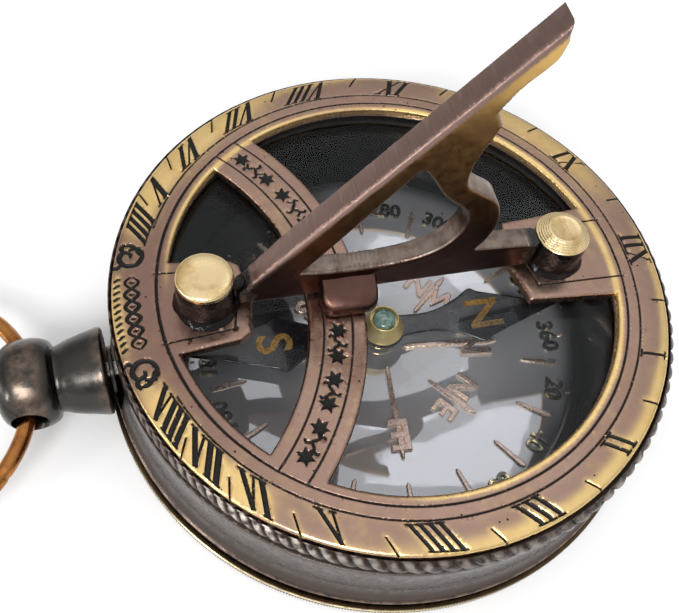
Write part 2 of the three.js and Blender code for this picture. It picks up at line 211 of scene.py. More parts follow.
def smooth_step(a, b, x):
    t = np.clip((x - a) / (b - a), 0, 1)
    return t * t * (3 - 2 * t)


def eased(depth, radius):
    """How far an edge rounded to the radius falls away, at each distance inside it."""
    within = np.clip(radius - depth, 0, radius)
    return radius - np.sqrt(np.maximum(radius ** 2 - within ** 2, 0))


def waves(*axes, seed=1.0, octaves=4):
    """Smooth repeatable unevenness from sines, between about -1 and 1."""
    total, weight = 0.0, 0.0
    for k in range(octaves):
        scale = 1.9 ** k
        phase = seed * (k + 1) * 2.399
        value = 1.0
        for i, a in enumerate(axes):
            value = value * np.sin(a * scale * (1 + 0.17 * i) + phase * (i + 1.3))
        total = total + value / scale
        weight += 1 / scale
    return total / weight * 1.6


# ---- pieces ----
def piece(name, points, faces, body, slot, stands_for, finishes, sharp=38, marks=None, which=None):
    """A named mesh in the row frame that rides on a body and stands for design nodes."""
    mesh = bpy.data.meshes.new(name)
    mesh.from_pydata((np.asarray(points, float) * MM).tolist(), [], faces)
    for finish in finishes:
        mesh.materials.append(finish)
    for key, values in (marks or {}).items():
        layer = mesh.attributes.new(key, "FLOAT", "POINT")
        layer.data.foreach_set("value", np.asarray(values, np.float32))
    if which is not None:
        mesh.polygons.foreach_set("material_index", np.asarray(which, np.int32))
    mesh.polygons.foreach_set("use_smooth", np.ones(len(mesh.polygons), bool))
    mesh.update()
    mesh.set_sharp_from_angle(angle=math.radians(sharp))
    obj = bpy.data.objects.new(name, mesh)
    bpy.context.scene.collection.objects.link(obj)
    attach(obj, body)
    if stands_for:
        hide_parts(*stands_for)
    return obj


def lathe(profile, count, shape=None, closed=True):
    """A profile of (radius, height) points turned round +Z. shape moves the points: it takes angle,
    radius and height arrays and gives new radius and height. A profile that isn't closed starts
    and ends on the axis."""
    p = np.asarray(profile, float)
    angle = np.arange(count) / count * TAU
    a, r = np.meshgrid(angle, p[:, 0], indexing="ij")
    z = np.broadcast_to(p[:, 1], r.shape)
    if shape:
        r, z = shape(a, r, z)
    points = np.stack([r * np.cos(a), r * np.sin(a), z], -1).reshape(-1, 3)
    n = len(p)
    faces = []
    for i in range(count):
        here, there = i * n, (i + 1) % count * n
        for j in range(n if closed else n - 1):
            k = (j + 1) % n
            quad = (here + j, there + j, there + k, here + k)
            if not closed and j == 0:
                quad = (0, there + k, here + k)
            elif not closed and k == n - 1:
                quad = (here + j, there + j, n - 1)
            faces.append(quad)
    return tidy(points, faces)


def new_places(used, count):
    """Where each used point stands once the others of the count are dropped."""
    places = np.zeros(count, int)
    places[used] = np.arange(len(used))
    return places


def tidy(points, faces):
    """Drops the points that no face uses."""
    used = np.unique([v for f in faces for v in f])
    places = new_places(used, len(points))
    return points[used], [tuple(int(places[v]) for v in f) for f in faces]


def joined(*parts):
    """Several (points, faces) as one."""
    points, faces, start = [], [], 0
    for p, f in parts:
        points.append(np.asarray(p, float))
        faces += [tuple(v + start for v in face) for face in f]
        start += len(p)
    return np.vstack(points), faces


def moved(part, matrix):
    points, faces = part
    m = np.array(matrix)
    return np.asarray(points) @ m[:3, :3].T + m[:3, 3], faces


def triangulated(loops, extra, inside):
    """Triangles of a flat region whose edges run along the loops, with extra points inside it."""
    points, edges = [], []
    for loop in loops:
        loop = np.asarray(loop)
        on_rim = np.abs(inside(loop)) < 0.02
        near = on_rim | np.roll(on_rim, 1) | np.roll(on_rim, -1)
        place = len(points) + np.cumsum(near) - 1
        points += [tuple(q) for q in loop[near]]
        edges += [(int(place[i]), int(place[j])) for i in range(len(loop))
                  for j in [(i + 1) % len(loop)] if near[i] and near[j] and (on_rim[i] or on_rim[j])]
    if len(extra):
        kept = extra[inside(extra) > 0.012]
        _, first = np.unique(np.round(kept / 0.02).astype(int), axis=0, return_index=True)
        points += [tuple(q) for q in kept[np.sort(first)]]
    out = delaunay_2d_cdt([Vector(q) for q in points], edges, [], 0, 1e-5)
    flat = np.array([tuple(v) for v in out[0]])
    tris = np.array([f for f in out[2] if len(f) == 3])
    centre = flat[tris].mean(1)
    tris = tris[inside(centre) > 0]
    a, b, c = flat[tris[:, 0]], flat[tris[:, 1]], flat[tris[:, 2]]
    area = (b[:, 0] - a[:, 0]) * (c[:, 1] - a[:, 1]) - (b[:, 1] - a[:, 1]) * (c[:, 0] - a[:, 0])
    tris = np.where((area < 0)[:, None], tris[:, ::-1], tris)
    used = np.unique(tris)
    return flat[used], new_places(used, len(flat))[tris]


def rim_edges(tris):
    """The edges that only one triangle has, in that triangle's direction."""
    pairs = np.vstack([tris[:, [0, 1]], tris[:, [1, 2]], tris[:, [2, 0]]])
    known = set(map(tuple, pairs.tolist()))
    return [(a, b) for a, b in known if (b, a) not in known]


def level(plan, height):
    """Points of a plan stood at one height, or at one height each."""
    return np.column_stack([plan, np.broadcast_to(height, len(plan))])


def stacked(rings):
    """A closed part from rings of equally many points, bottom to top, with flat ends."""
    n = len(rings[0])
    last = n * (len(rings) - 1)
    faces = [tuple(range(n))[::-1], tuple(range(last, last + n))]
    for k in range(0, last, n):
        faces += [(k + i, k + (i + 1) % n, k + n + (i + 1) % n, k + n + i) for i in range(n)]
    return np.vstack(rings), faces


def slab(flat, tris, top, bottom):
    """A closed plate from one flat triangulation, with a height for each point above and below."""
    n = len(flat)
    points = np.vstack([level(flat, top), level(flat, bottom)])
    faces = [tuple(t) for t in tris.tolist()]
    faces += [(c + n, b + n, a + n) for a, b, c in tris.tolist()]
    faces += [(b, a, a + n, b + n) for a, b in rim_edges(tris)]
    return points, faces


def raised(outline, base, top, bevel):
    """A low relief with a bevelled upper edge from a flat outline."""
    p = np.asarray(outline, float)
    side = np.roll(p, -1, 0) - np.roll(p, 1, 0)
    normal = np.stack([-side[:, 1], side[:, 0]], 1) / np.maximum(np.hypot(*side.T), 1e-9)[:, None]
    return stacked([level(p, base), level(p, top - bevel), level(p + normal * bevel, top)])


def mesh_part(mesh):
    points = np.empty(len(mesh.vertices) * 3)
    mesh.vertices.foreach_get("co", points)
    return points.reshape(-1, 3), [tuple(f.vertices) for f in mesh.polygons]


def lettering(text, size, height, bevel, weight=0.0):
    """Solid letters centred on the origin, from the built-in sans face."""
    curve = bpy.data.curves.new("lettering", "FONT")
    curve.body = text
    curve.size = size
    curve.align_x = curve.align_y = "CENTER"
    curve.extrude = (height - bevel) / 2
    curve.bevel_depth = bevel
    curve.offset = weight
    curve.resolution_u = 4
    holder = bpy.data.objects.new("lettering", curve)
    bpy.context.scene.collection.objects.link(holder)
    bpy.context.view_layer.update()
    mesh = holder.to_mesh()
    part = mesh_part(mesh)
    holder.to_mesh_clear()
    bpy.data.objects.remove(holder)
    bpy.data.curves.remove(curve)
    points = part[0]
    centre = (points.max(0) + points.min(0)) / 2
    return points - [centre[0], centre[1], points[:, 2].min()], part[1]


def cut(obj, part):
    """Takes a closed part away from a piece, in the row frame."""
    points, faces = part
    mesh = bpy.data.meshes.new("cutter")
    mesh.from_pydata((np.asarray(points) * MM).tolist(), [], faces)
    cutter = bpy.data.objects.new("cutter", mesh)
    bpy.context.scene.collection.objects.link(cutter)
    step = obj.modifiers.new("cut", "BOOLEAN")
    step.operation = "DIFFERENCE"
    step.object = cutter
    step.solver = "EXACT"
    bpy.context.view_layer.update()
    done = bpy.data.meshes.new_from_object(
        obj.evaluated_get(bpy.context.evaluated_depsgraph_get()))
    obj.modifiers.clear()
    obj.data = done
    bpy.data.objects.remove(cutter)
    done.polygons.foreach_set("use_smooth", np.ones(len(done.polygons), bool))
    done.set_sharp_from_angle(angle=math.radians(38))
    return obj


def turned(name, profile, count, body, slot, node, finish, closed=True, **more):
    """A piece turned round the dial's axis that stands for one design node."""
    points, faces = lathe(profile, count, closed=closed)
    return piece(name, points, faces, body, slot, [node], [finish], **more)


def figures(name, parts, body, finish):
    """Small brass relief, many parts as one piece, that stands for no design node."""
    points, faces = joined(*parts)
    return piece(name, points, faces, body, "polished_brass", [], [finish], sharp=30)


# ---- finishes ----
def tone(code):
    """A display colour such as a68270 as linear light."""
    parts = [int(code[i : i + 2], 16) / 255 for i in (0, 2, 4)]
    return tuple(c / 12.92 if c <= 0.04045 else ((c + 0.055) / 1.055) ** 2.4 for c in parts) + (1,)


class Finish:
    """A material being put together: a Principled shader and the nodes that feed it."""

    def __init__(self, name, **inputs):
        self.material = bpy.data.materials.new(name)
        self.material.use_nodes = True
        self.tree = self.material.node_tree
        self.shader = self.tree.nodes["Principled BSDF"]
        place = self.tree.nodes.new("ShaderNodeTexCoord")
        self.here = self.node("ShaderNodeVectorMath", {0: place.outputs["Object"], 3: 1 / MM},
                              operation="SCALE").outputs[0]
        self.normal = None
        self.set(**inputs)

    def node(self, kind, values=None, **settings):
        made = self.tree.nodes.new(kind)
        for key, value in settings.items():
            setattr(made, key, value)
        for key, value in (values or {}).items():
            self.feed(made.inputs[key], value)
        return made

    def feed(self, socket, value):
        if isinstance(value, bpy.types.NodeSocket):
            self.tree.links.new(value, socket)
        else:
            socket.default_value = value

    def set(self, **inputs):
        for key, value in inputs.items():
            self.feed(self.shader.inputs[key.replace("_", " ").title().replace("Ior", "IOR")], value)

    def calc(self, operation, a, b=0.0, c=0.0):
        return self.node("ShaderNodeMath", {0: a, 1: b, 2: c}, operation=operation).outputs[0]

    def times(self, a, b):
        return self.calc("MULTIPLY", a, b)

    def rest(self, share):
        """What the share leaves of one."""
        return self.calc("SUBTRACT", 1.0, share)

    def ragged(self, share, patches, by):
        """A share that noise from 0 to 1 raises and lowers, by half of by either way."""
        return self.calc("ADD", share, self.times(self.calc("SUBTRACT", patches, 0.5), by))

    def mark(self, name):
        return self.node("ShaderNodeAttribute", attribute_name=name).outputs["Fac"]

    def stretched(self, x, y, z):
        return self.node("ShaderNodeVectorMath", {0: self.here, 1: (x, y, z)},
                         operation="MULTIPLY").outputs[0]

    def noise(self, size, detail=3.0, rough=0.55, distort=0.0, where=None):
        """Noise with features of about size millimetres, 0 to 1."""
        made = self.node("ShaderNodeTexNoise", {
            "Vector": where or self.here, "Scale": 1 / size, "Detail": detail,
            "Roughness": rough, "Distortion": distort})
        return made.outputs["Fac"]

    def cells(self, size, where=None):
        made = self.node("ShaderNodeTexVoronoi", {"Vector": where or self.here, "Scale": 1 / size})
        return made.outputs["Distance"]

    def spread(self, value, a, b, to_a=0.0, to_b=1.0):
        return self.node("ShaderNodeMapRange", {
            "Value": value, "From Min": a, "From Max": b, "To Min": to_a, "To Max": to_b},
            interpolation_type="SMOOTHSTEP").outputs["Result"]

    def blend(self, share, a, b):
        made = self.node("ShaderNodeMix", data_type="RGBA")
        self.feed(made.inputs["Factor"], share)
        self.feed(made.inputs[6], a)
        self.feed(made.inputs[7], b)
        return made.outputs[2]

    def uneven(self, size, low, high, detail=3):
        """A value that wanders between low and high in patches of about size millimetres."""
        return self.spread(self.noise(size, detail), 0.3, 0.7, low, high)

    def mottled(self, size, first, second, detail=3):
        """A mix of two display colours in patches of about size millimetres."""
        return self.blend(self.noise(size, detail), tone(first), tone(second))

    def bump(self, height, depth):
        """Adds a bump whose full height is depth millimetres."""
        values = {"Height": height, "Distance": depth * MM}
        if self.normal:
            values["Normal"] = self.normal
        self.normal = self.node("ShaderNodeBump", values).outputs[0]
        self.feed(self.shader.inputs["Normal"], self.normal)

    def radius(self):
        """Distance from the dial's axis, in millimetres."""
        flat = self.node("ShaderNodeVectorMath", {0: self.here, 1: (1, 1, 0)}, operation="MULTIPLY")
        return self.node("ShaderNodeVectorMath", {0: flat.outputs[0]}, operation="LENGTH").outputs[1]

    def facing_up(self, a, b):
        """0 where the surface's upward share is under a, 1 where it's over b."""
        facing = self.node("ShaderNodeNewGeometry").outputs["Normal"]
        return self.spread(self.node("ShaderNodeSeparateXYZ", {0: facing}).outputs[2], a, b)

    def along(self, direction):
        """Distance along a direction, in millimetres."""
        return self.node("ShaderNodeVectorMath", {0: self.here, 1: direction},
                         operation="DOT_PRODUCT").outputs[1]

    def axis(self, which):
        """One coordinate, in millimetres."""
        return self.node("ShaderNodeSeparateXYZ", {0: self.here}).outputs[which]


def even_finish(name, colours, roughness, bumps, **inputs):
    """A finish the same all over: what mottled and uneven take, then noise and depth of each bump."""
    f = Finish(name, **inputs)
    f.set(base_color=f.mottled(*colours))
    f.set(roughness=f.uneven(*roughness))
    for noise, depth in bumps:
        f.bump(f.noise(*noise), depth)
    return f.material


def dial_finish():
    """Antique copper, rubbed back to brass along rims and over worn stretches, with ink in the cuts. The
    brass stretches are partly painted highlights where the ring's brass would mirror the light.
    """
    f = Finish("antique_dial", metallic=1.0)
    broad = f.noise(7.0, 3, 0.6)
    fine = f.noise(0.9, 4, 0.6)
    rose = f.blend(broad, tone("ab8f80"), tone("96786a"))
    rose = f.blend(f.spread(f.noise(3.4, 3, 0.6), 0.5, 0.8), rose, tone("b09478"))
    rose = f.blend(f.spread(f.axis(0), -16.0, -34.0, 0.0, 0.6), rose, tone("71544c"))
    gold = f.blend(f.noise(3.0, 3, 0.6), tone("f4d89c"), tone("e0b873"))
    # the worn mark is part real wear and part painted highlight on the bright brass stretches
    worn = f.ragged(f.mark("worn"), broad, 0.5)
    colour = f.blend(f.spread(worn, 0.0, 1.0), rose, gold)
    pits = f.spread(f.cells(1.7), 0.05, 0.11)
    some = f.spread(f.noise(6.0, 2), 0.5, 0.56)
    pitted = f.times(f.rest(pits), some)
    colour = f.blend(pitted, colour, tone("2a1d16"))
    ink = f.mark("ink")
    colour = f.blend(ink, colour, tone("0b0908"))
    f.set(base_color=colour)
    f.set(roughness=f.calc("ADD", f.spread(fine, 0.3, 0.7, 0.24, 0.36),
                           f.times(ink, 0.22)))
    f.set(metallic=f.rest(f.times(ink, 0.6)))
    f.bump(f.noise(1.6, 4, 0.62), 0.03)
    f.bump(pits, 0.02)
    return f.material


def brass_finish(name, bright, dull, lines=0.0):
    """Polished brass with a little tarnish, and brushed one way where lines gives their width."""
    f = Finish(name, metallic=1.0)
    tarnish = f.spread(f.noise(4.0, 4, 0.6), 0.45, 0.72)
    f.set(base_color=f.blend(tarnish, tone(bright), tone(dull)))
    f.set(roughness=f.uneven(0.6, 0.16, 0.3))
    if lines:
        f.bump(f.noise(lines, 3, where=f.stretched(1.0, 0.12, 0.3)), 0.02)
    f.bump(f.noise(0.8, 3), 0.01)
    return f.material


def gunmetal_finish(name, base, light, worn="8d7768", rough=0.27):
    """Dark lacquered metal, smooth, a little cloudy, and lighter on its high points: rubbed wear on the case
    wall and stem, a painted highlight on the rope's beads.
    """
    f = Finish(name, metallic=1.0)
    cloudy = f.noise(5.0, 4, 0.6)
    colour = f.blend(cloudy, tone(base), tone(light))
    # the worn mark is rubbed wear on the case wall and stem, and a painted highlight on the rope's beads
    rubbed = f.times(f.mark("worn"), f.spread(f.noise(1.4, 3), 0.3, 0.65))
    colour = f.blend(rubbed, colour, tone(worn))
    f.set(base_color=colour)
    f.set(roughness=f.uneven(1.1, rough - 0.07, rough + 0.07, 4))
    f.bump(f.noise(1.5, 4, 0.6), 0.02)
    f.bump(f.noise(0.25, 2), 0.004)
    return f.material


def cover_finish():
    """Base cover: black on top and below, lacquer that also stands in for the shadow under the case's rolled
    lip; its corner polished bright, mostly as a painted highlight on the near left; its reeds dull brass.
    """
    f = Finish("cover_lacquer_and_shadow", metallic=1.0)
    # black lacquer, dark enough to serve also as the painted shadow under the case's rolled lip
    black = f.mottled(4.0, "17130f", "241d17")
    reeds = f.mottled(2.0, "5c4c36", "3f3426")
    colour = f.blend(f.mark("reeds"), black, reeds)
    f.set(base_color=f.blend(f.mark("worn"), colour, tone("e8d6ac")))
    f.set(roughness=f.uneven(0.9, 0.2, 0.34))
    f.bump(f.noise(1.2, 3), 0.012)
    return f.material


def hub_finish():
    """Bright satin brass of the needle's cap."""
    f = Finish("hub_brass", metallic=0.7)
    f.set(base_color=f.mottled(1.5, "f3e0a2", "dcc076"))
    f.set(roughness=f.uneven(0.5, 0.3, 0.42))
    f.bump(f.calc("SINE", f.times(f.radius(), TAU / 0.3)), 0.002)
    f.bump(f.noise(0.7, 3), 0.01)
    return f.material


def bronze_finish():
    """Chocolate bronze of the gnomon, brassy where it is thin at the nose, with casting scars."""
    f = Finish("gnomon_bronze")
    broad = f.noise(9.0, 3, 0.5)
    tall = f.ragged(f.mark("tall"), broad, 0.2)
    colour = f.mottled(5.0, "4a2a1f", "3c2119")
    colour = f.blend(f.spread(tall, -0.1, -0.25), colour, tone("27140f"))
    colour = f.blend(f.spread(tall, 0.16, 0.5), colour, tone("705434"))
    colour = f.blend(f.spread(tall, 0.66, 0.95), colour, tone("cba663"))
    colour = f.blend(f.mark("face"), colour, tone("7c665e"))
    edge = f.times(f.mark("edge"), f.spread(f.noise(1.4, 3), 0.3, 0.65, 0.5, 1.0))
    colour = f.blend(edge, colour, tone("8a7c72"))
    lacquer = f.mark("lacquer")
    f.set(base_color=f.blend(lacquer, colour, tone("0c090a")))
    f.set(metallic=f.rest(lacquer))
    worn = f.uneven(1.0, 0.28, 0.4, 4)
    f.set(roughness=f.times(worn, f.rest(f.times(lacquer, 0.75))))
    f.bump(f.noise(3.6, 2, 0.5), 0.05)
    chatter = f.noise(0.55, 2, where=f.along((0.624, 0, 0.781)))
    f.bump(f.times(chatter, f.mark("face")), 0.035)
    f.bump(f.times(f.noise(0.55, 3), lacquer), 0.3)
    f.bump(f.noise(0.3, 3), 0.006)
    return f.material


def lacquer_finish():
    """Thick black lacquer, wet-looking, with brush ripples."""
    return even_finish("black_lacquer", (1.5, "070506", "130d0d"), (0.8, 0.06, 0.16),
                       [((1.0, 3, 0.6), 0.12)], metallic=0.0, specular_ior_level=0.22)


def enamel_finish():
    """Black mirror enamel of the card, with specks of dust, painted shade where the crescent bridge overhangs
    it, and painted shade and reflection of the black bowl wall round its rim.
    """
    f = Finish("black_enamel", metallic=0.62)
    enamel_with_painted_shade = f.mottled(9.0, "adaeb3", "a2a3a7")
    x, y = f.axis(0), f.axis(1)
    # painted shade towards -X and +Y, where the crescent bridge overhangs the card
    shaded = f.times(f.spread(x, 2.0, -12.0), f.spread(y, 0.0, 8.0))
    enamel_with_painted_shade = f.blend(shaded, enamel_with_painted_shade, tone("262424"))
    # painted shade and reflection of the black bowl wall round the card's rim
    enamel_with_painted_shade = f.blend(f.spread(f.radius(), 27.0, 30.5), enamel_with_painted_shade, tone("1a1818"))
    dust = f.spread(f.cells(2.3), 0.035, 0.05, 1.0, 0.0)
    f.set(base_color=f.blend(dust, enamel_with_painted_shade, tone("d8d4c8")))
    f.set(roughness=f.uneven(2.0, 0.02, 0.06))
    f.bump(f.noise(11.0, 2), 0.05)
    return f.material


def bowl_finish():
    """Black lacquered wall of the bowl, glossy, with painted brown reflections in horizontal streaks."""
    f = Finish("bowl_lacquer", metallic=0.4, specular_ior_level=0.15)
    reflection_band = f.noise(6.0, 3, 0.6, where=f.stretched(1, 1, 9))
    # painted reflection: brown horizontal bands in the base colour
    f.set(base_color=f.blend(f.spread(reflection_band, 0.45, 0.7), tone("060505"), tone("1c1712")))
    f.set(roughness=f.spread(reflection_band, 0.3, 0.7, 0.08, 0.2))
    f.bump(f.noise(0.7, 3), 0.012)
    return f.material


def relief_finish():
    """Copper-gold of the raised figures on the card, with a painted highlight on their sloping edges and
    duller flat tops.
    """
    f = Finish("relief_copper", metallic=0.85)
    bright = f.mottled(0.9, "fff0dc", "f2d0b0")
    # painted highlight: sloping edges coloured bright, flat tops dull
    f.set(base_color=f.blend(f.facing_up(0.8, 0.97), bright, tone("a8948c")))
    f.set(roughness=f.uneven(0.5, 0.12, 0.3))
    f.bump(f.noise(0.35, 3), 0.02)
    return f.material


def figure_finish():
    """Small figures of the card, mostly dark with a little gold left on them."""
    f = Finish("figure_gold", metallic=1.0)
    left = f.spread(f.noise(0.8, 3), 0.5, 0.7)
    f.set(base_color=f.blend(left, tone("4c4a45"), tone("d8c494")))
    f.set(roughness=0.14)
    f.bump(f.noise(0.4, 3), 0.03)
    return f.material


def needle_finish():
    """Black enamel of the needle, blue-grey in the light."""
    return even_finish("needle_enamel", (3.0, "0b0c0f", "191b20"), (1.0, 0.14, 0.28),
                       [((1.3, 3), 0.02)], metallic=0.3, coat_weight=0.45, coat_roughness=0.04)


def gilt_finish():
    """Gold paint of the needle's letters, worn and grainy."""
    f = Finish("gilt_paint", metallic=0.9)
    grain = f.noise(0.35, 4, 0.7)
    f.set(base_color=f.blend(f.spread(grain, 0.4, 0.66), tone("b08a4c"), tone("5c4626")))
    f.set(roughness=f.spread(grain, 0.3, 0.7, 0.3, 0.55))
    f.bump(grain, 0.05)
    return f.material


def copper_finish():
    """Drawn copper wire of the bow, orange-brown with dark drawing marks."""
    f = Finish("bow_copper", metallic=1.0)
    marks = f.noise(3.0, 4, 0.6)
    f.set(base_color=f.blend(f.spread(marks, 0.35, 0.7), tone("b27842"), tone("7a4a28")))
    f.set(roughness=f.uneven(0.8, 0.16, 0.3))
    f.bump(f.noise(0.5, 3, 0.6), 0.02)
    return f.material


def glass_finish():
    """Clear pane: almost nothing of its own but a faint mirror on top."""
    return even_finish("clear_glass", (14.0, "eef2f4", "e2e8ea", 2), (6.0, 0.01, 0.03, 2), [],
                       metallic=1.0, alpha=0.013)


def jewel_finish():
    """Grey-green glass jewel."""
    f = Finish("jewel_glass", metallic=0.0, coat_weight=1.0, coat_roughness=0.02)
    f.set(base_color=f.blend(f.spread(f.noise(0.9, 3), 0.4, 0.62), tone("6f9084"), tone("3f5a50")))
    f.set(roughness=f.uneven(0.5, 0.06, 0.16, 2))
    f.bump(f.noise(0.8, 2), 0.03)
    return f.material


def steel_finish():
    return even_finish("pivot_steel", (1.0, "b2b0aa", "8e8c86"), (0.4, 0.18, 0.32),
                       [((0.3, 2), 0.006)], metallic=1.0)


def rubber_finish():
    return even_finish("rubber_black", (1.2, "141414", "232221"), (0.6, 0.55, 0.75),
                       [((0.4, 3), 0.03)], metallic=0.0)


def paper_finish():
    """Plain pale studio floor."""
    f = Finish("studio_floor", metallic=0.0)
    f.set(base_color=f.mottled(80.0, "f4f4f4", "efefef", 2))
    f.set(roughness=0.75)
    return f.material


# ---- engraving of the dial ----
def straight(a, b, width):
    """A straight stroke with square ends as a polygon."""
    a, b = np.array(a, float), np.array(b, float)
    d = (b - a) / np.linalg.norm(b - a)
    n = np.array([-d[1], d[0]]) * width / 2
    return np.array([a - n, b - n, b + n, a + n])


def brushed(line, width):
    """A curved stroke as a polygon, tapering towards its ends."""
    p = np.asarray(line, float)
    d = np.gradient(p, axis=0)
    n = np.stack([-d[:, 1], d[:, 0]], 1) / np.hypot(*d.T)[:, None]
    taper = np.sin(np.linspace(0.25, math.pi - 0.25, len(p)))[:, None] ** 0.5
    return np.vstack([p - n * taper * width / 2, (p + n * taper * width / 2)[::-1]])


def star(centre, size, points=6, turn=0.0):
    angle = turn + np.arange(2 * points) * math.pi / points
    radius = np.where(np.arange(2 * points) % 2 == 0, size, size * 0.5)
    return np.stack([centre[0] + radius * np.cos(angle), centre[1] + radius * np.sin(angle)], 1)


SERIF, CAP = 0.27, 1.72
LETTER_WIDTH = {"I": 1.36, "V": 2.5, "X": 2.5}
# hour, its angle round the ring, and how heavily it was cut; mornings are negative and on the
# +Y side
HOURS = {0: ("XII", -1.2, 0.62), 1: ("I", -29.2, 0.45), 2: ("II", -53.2, 0.6), 3: ("III", -76.4, 0.74),
         4: ("IIII", -97.4, 0.74), 5: ("V", -116.6, 0.74), 6: ("VI", -132.3, 0.86),
         7: ("VII", -144.2, 0.98), 8: ("VIII", -155.0, 0.98),
         -1: ("XI", 27.6, 0.6), -2: ("X", 52.2, 0.6), -3: ("IX", 76.0, 0.64), -4: ("VIII", 98.6, 0.7),
         -5: ("VII", 117.4, 0.74), -6: ("VI", 134.0, 0.86), -7: ("V", 146.9, 0.94),
         -8: ("IIII", 156.9, 0.92)}


def letter(which, x, stem):
    """Strokes of one Roman letter, upright, centred on x, CAP above and below the middle."""
    def serif(at, y, half):
        return straight((at - half, y), (at + half, y), SERIF)

    hair = 0.12 + 0.3 * stem
    edge = CAP - SERIF / 2
    if which == "I":
        return [straight((x, -CAP), (x, CAP), stem), serif(x, edge, 0.66), serif(x, -edge, 0.66)]
    spread = 0.86
    if which == "V":
        return [straight((x - spread, CAP), (x, -CAP), stem), straight((x + spread, CAP), (x, -CAP), hair),
                serif(x - spread, edge, 0.66), serif(x + spread, edge, 0.5)]
    return [straight((x - spread, CAP), (x + spread, -CAP), stem),
            straight((x + spread, CAP), (x - spread, -CAP), hair),
            serif(x - spread, edge, 0.55), serif(x + spread, edge, 0.5),
            serif(x - spread, -edge, 0.5), serif(x + spread, -edge, 0.55)]


def hour_place(hours):
    """The angle of an hour, or of the half hour between two, and the direction that its strokes
    lean along, which turns by fifteen degrees an hour."""
    before, after = math.floor(hours), math.ceil(hours)
    angle = math.radians((HOURS[before][1] + HOURS[after][1]) / 2)
    way = -math.radians(15 * hours)
    return angle, np.array([math.cos(way), math.sin(way)])


def on_ring(strokes, hours):
    """Letter strokes laid round the chapter ring, leaning along their hour line."""
    angle, direction = hour_place(hours)
    radial = np.array([math.cos(angle), math.sin(angle)])
    lean = direction / max(direction @ radial, 0.5)
    out = []
    for stroke in strokes:
        u, v = finely(stroke, 0.5).T
        base = NUMERAL_R * np.stack([np.cos(angle + u / NUMERAL_R), np.sin(angle + u / NUMERAL_R)], 1)
        out.append(base - v[:, None] * lean)
    return out


def numerals():
    out = []
    for hours, (text, _, stem) in HOURS.items():
        x = -sum(LETTER_WIDTH[c] for c in text) / 2
        strokes = []
        for c in text:
            strokes += letter(c, x + LETTER_WIDTH[c] / 2, stem)
            x += LETTER_WIDTH[c]
        squeeze = [0.88, 1] if len(text) > 3 else [1, 1]
        out += on_ring([stroke * squeeze for stroke in strokes], hours)
    tick = [straight((0, -2.15), (0, 0.0), 0.34)]
    for half in range(8):
        out += on_ring(tick, half + 0.5) + on_ring(tick, -half - 0.5)
    return out


def band_point(radius, degrees, centre_x=0.0):
    a = np.radians(degrees)
    return np.stack([centre_x + radius * np.cos(a), radius * np.sin(a)], -1)


def vine(radius, degrees, centre_x, flip):
    """A curling twig with leaves, three millimetres long, along a band."""
    def put(line):
        u, v = np.array(line, float).T
        return band_point(radius + v * flip, degrees + np.degrees(u / radius), centre_x)

    stem = smooth_line([(-1.5, 0.3), (-0.8, -0.45), (0.0, 0.15), (0.7, -0.5), (1.5, 0.2)], 16)
    twigs = [[(-0.8, -0.4), (-1.2, -1.0), (-0.9, -1.3)], [(0, 0.1), (-0.35, 0.8), (0.05, 1.2)],
             [(0.7, -0.45), (1.15, -0.9), (0.8, -1.25)]]
    return [brushed(put(stem), 0.44)] + [brushed(put(smooth_line(t, 7)), 0.42) for t in twigs]


def bridge_marks():
    """Stars and twigs of the crescent bridge."""
    middle = (BRIDGE_IN + BRIDGE_OUT) / 2
    out = []
    for degrees in (39.5, 31.6, 26.0, 17.0, 11.0, -11.0, -17.0, -22.2, -27.7, -33.0, -39.5):
        place = band_point(middle, degrees, BRIDGE_X)
        out.append(star(place, 1.38, 6, math.radians(degrees)))
    for degrees, flip in ((35.6, 1), (21.5, -1), (-14.0, 1), (-36.3, -1), (-24.95, 1)):
        out += vine(middle, degrees, BRIDGE_X, flip)
    return out


def scroll(degrees, flip):
    """Acanthus-like curl at either end of the ornamental band of the chapter ring."""
    def put(line):
        u, v = np.array(line, float).T
        return band_point(NUMERAL_R + 0.1 + v, degrees + flip * np.degrees(u / NUMERAL_R))

    curl = [(1.6, -1.35), (0.4, -1.6), (-0.9, -1.0), (-1.1, 0.4), (-0.1, 1.35), (0.95, 0.9), (0.75, 0.0),
            (0.1, -0.1)]
    leaves = [[(0.6, -1.5), (1.3, -0.9), (2.1, -0.9)], [(1.4, -1.4), (1.7, -0.5), (1.3, 0.3)],
              [(1.3, -1.0), (2.1, 0.1), (2.0, 1.0)], [(0.9, 0.9), (1.5, 1.3), (2.3, 1.1)]]
    tail = [(-0.9, 0.9), (-1.5, 1.5), (-1.2, 2.1)]
    return ([brushed(put(smooth_line(curl, 28)), 0.74)]
            + [brushed(put(smooth_line(t, 8)), 0.66) for t in leaves + [tail]])


def plait():
    """Plain plaited ornament on the pendant side: two crossing waves with lozenges between, and a
    row of short strokes outside it."""
    out = []
    start, end, count = 171.2, 189.0, 6
    degrees = np.linspace(start, end, 97)
    phase = (degrees - start) / (end - start) * count * math.pi
    for sign in (1, -1):
        out.append(brushed(band_point(NUMERAL_R - 0.5 + sign * 0.86 * np.sin(phase), degrees), 0.52))
    step = (end - start) / count
    for i in range(count):
        middle = start + step * (i + 0.5)
        out.append(star(band_point(NUMERAL_R - 0.5, middle), 0.5, 2, math.radians(middle)))
        for part in (-0.25, 0.25):
            at = middle + part * step
            out.append(straight(band_point(NUMERAL_R + 0.95, at - 0.4),
                                band_point(NUMERAL_R + 1.85, at + 0.4), 0.42))
    return out


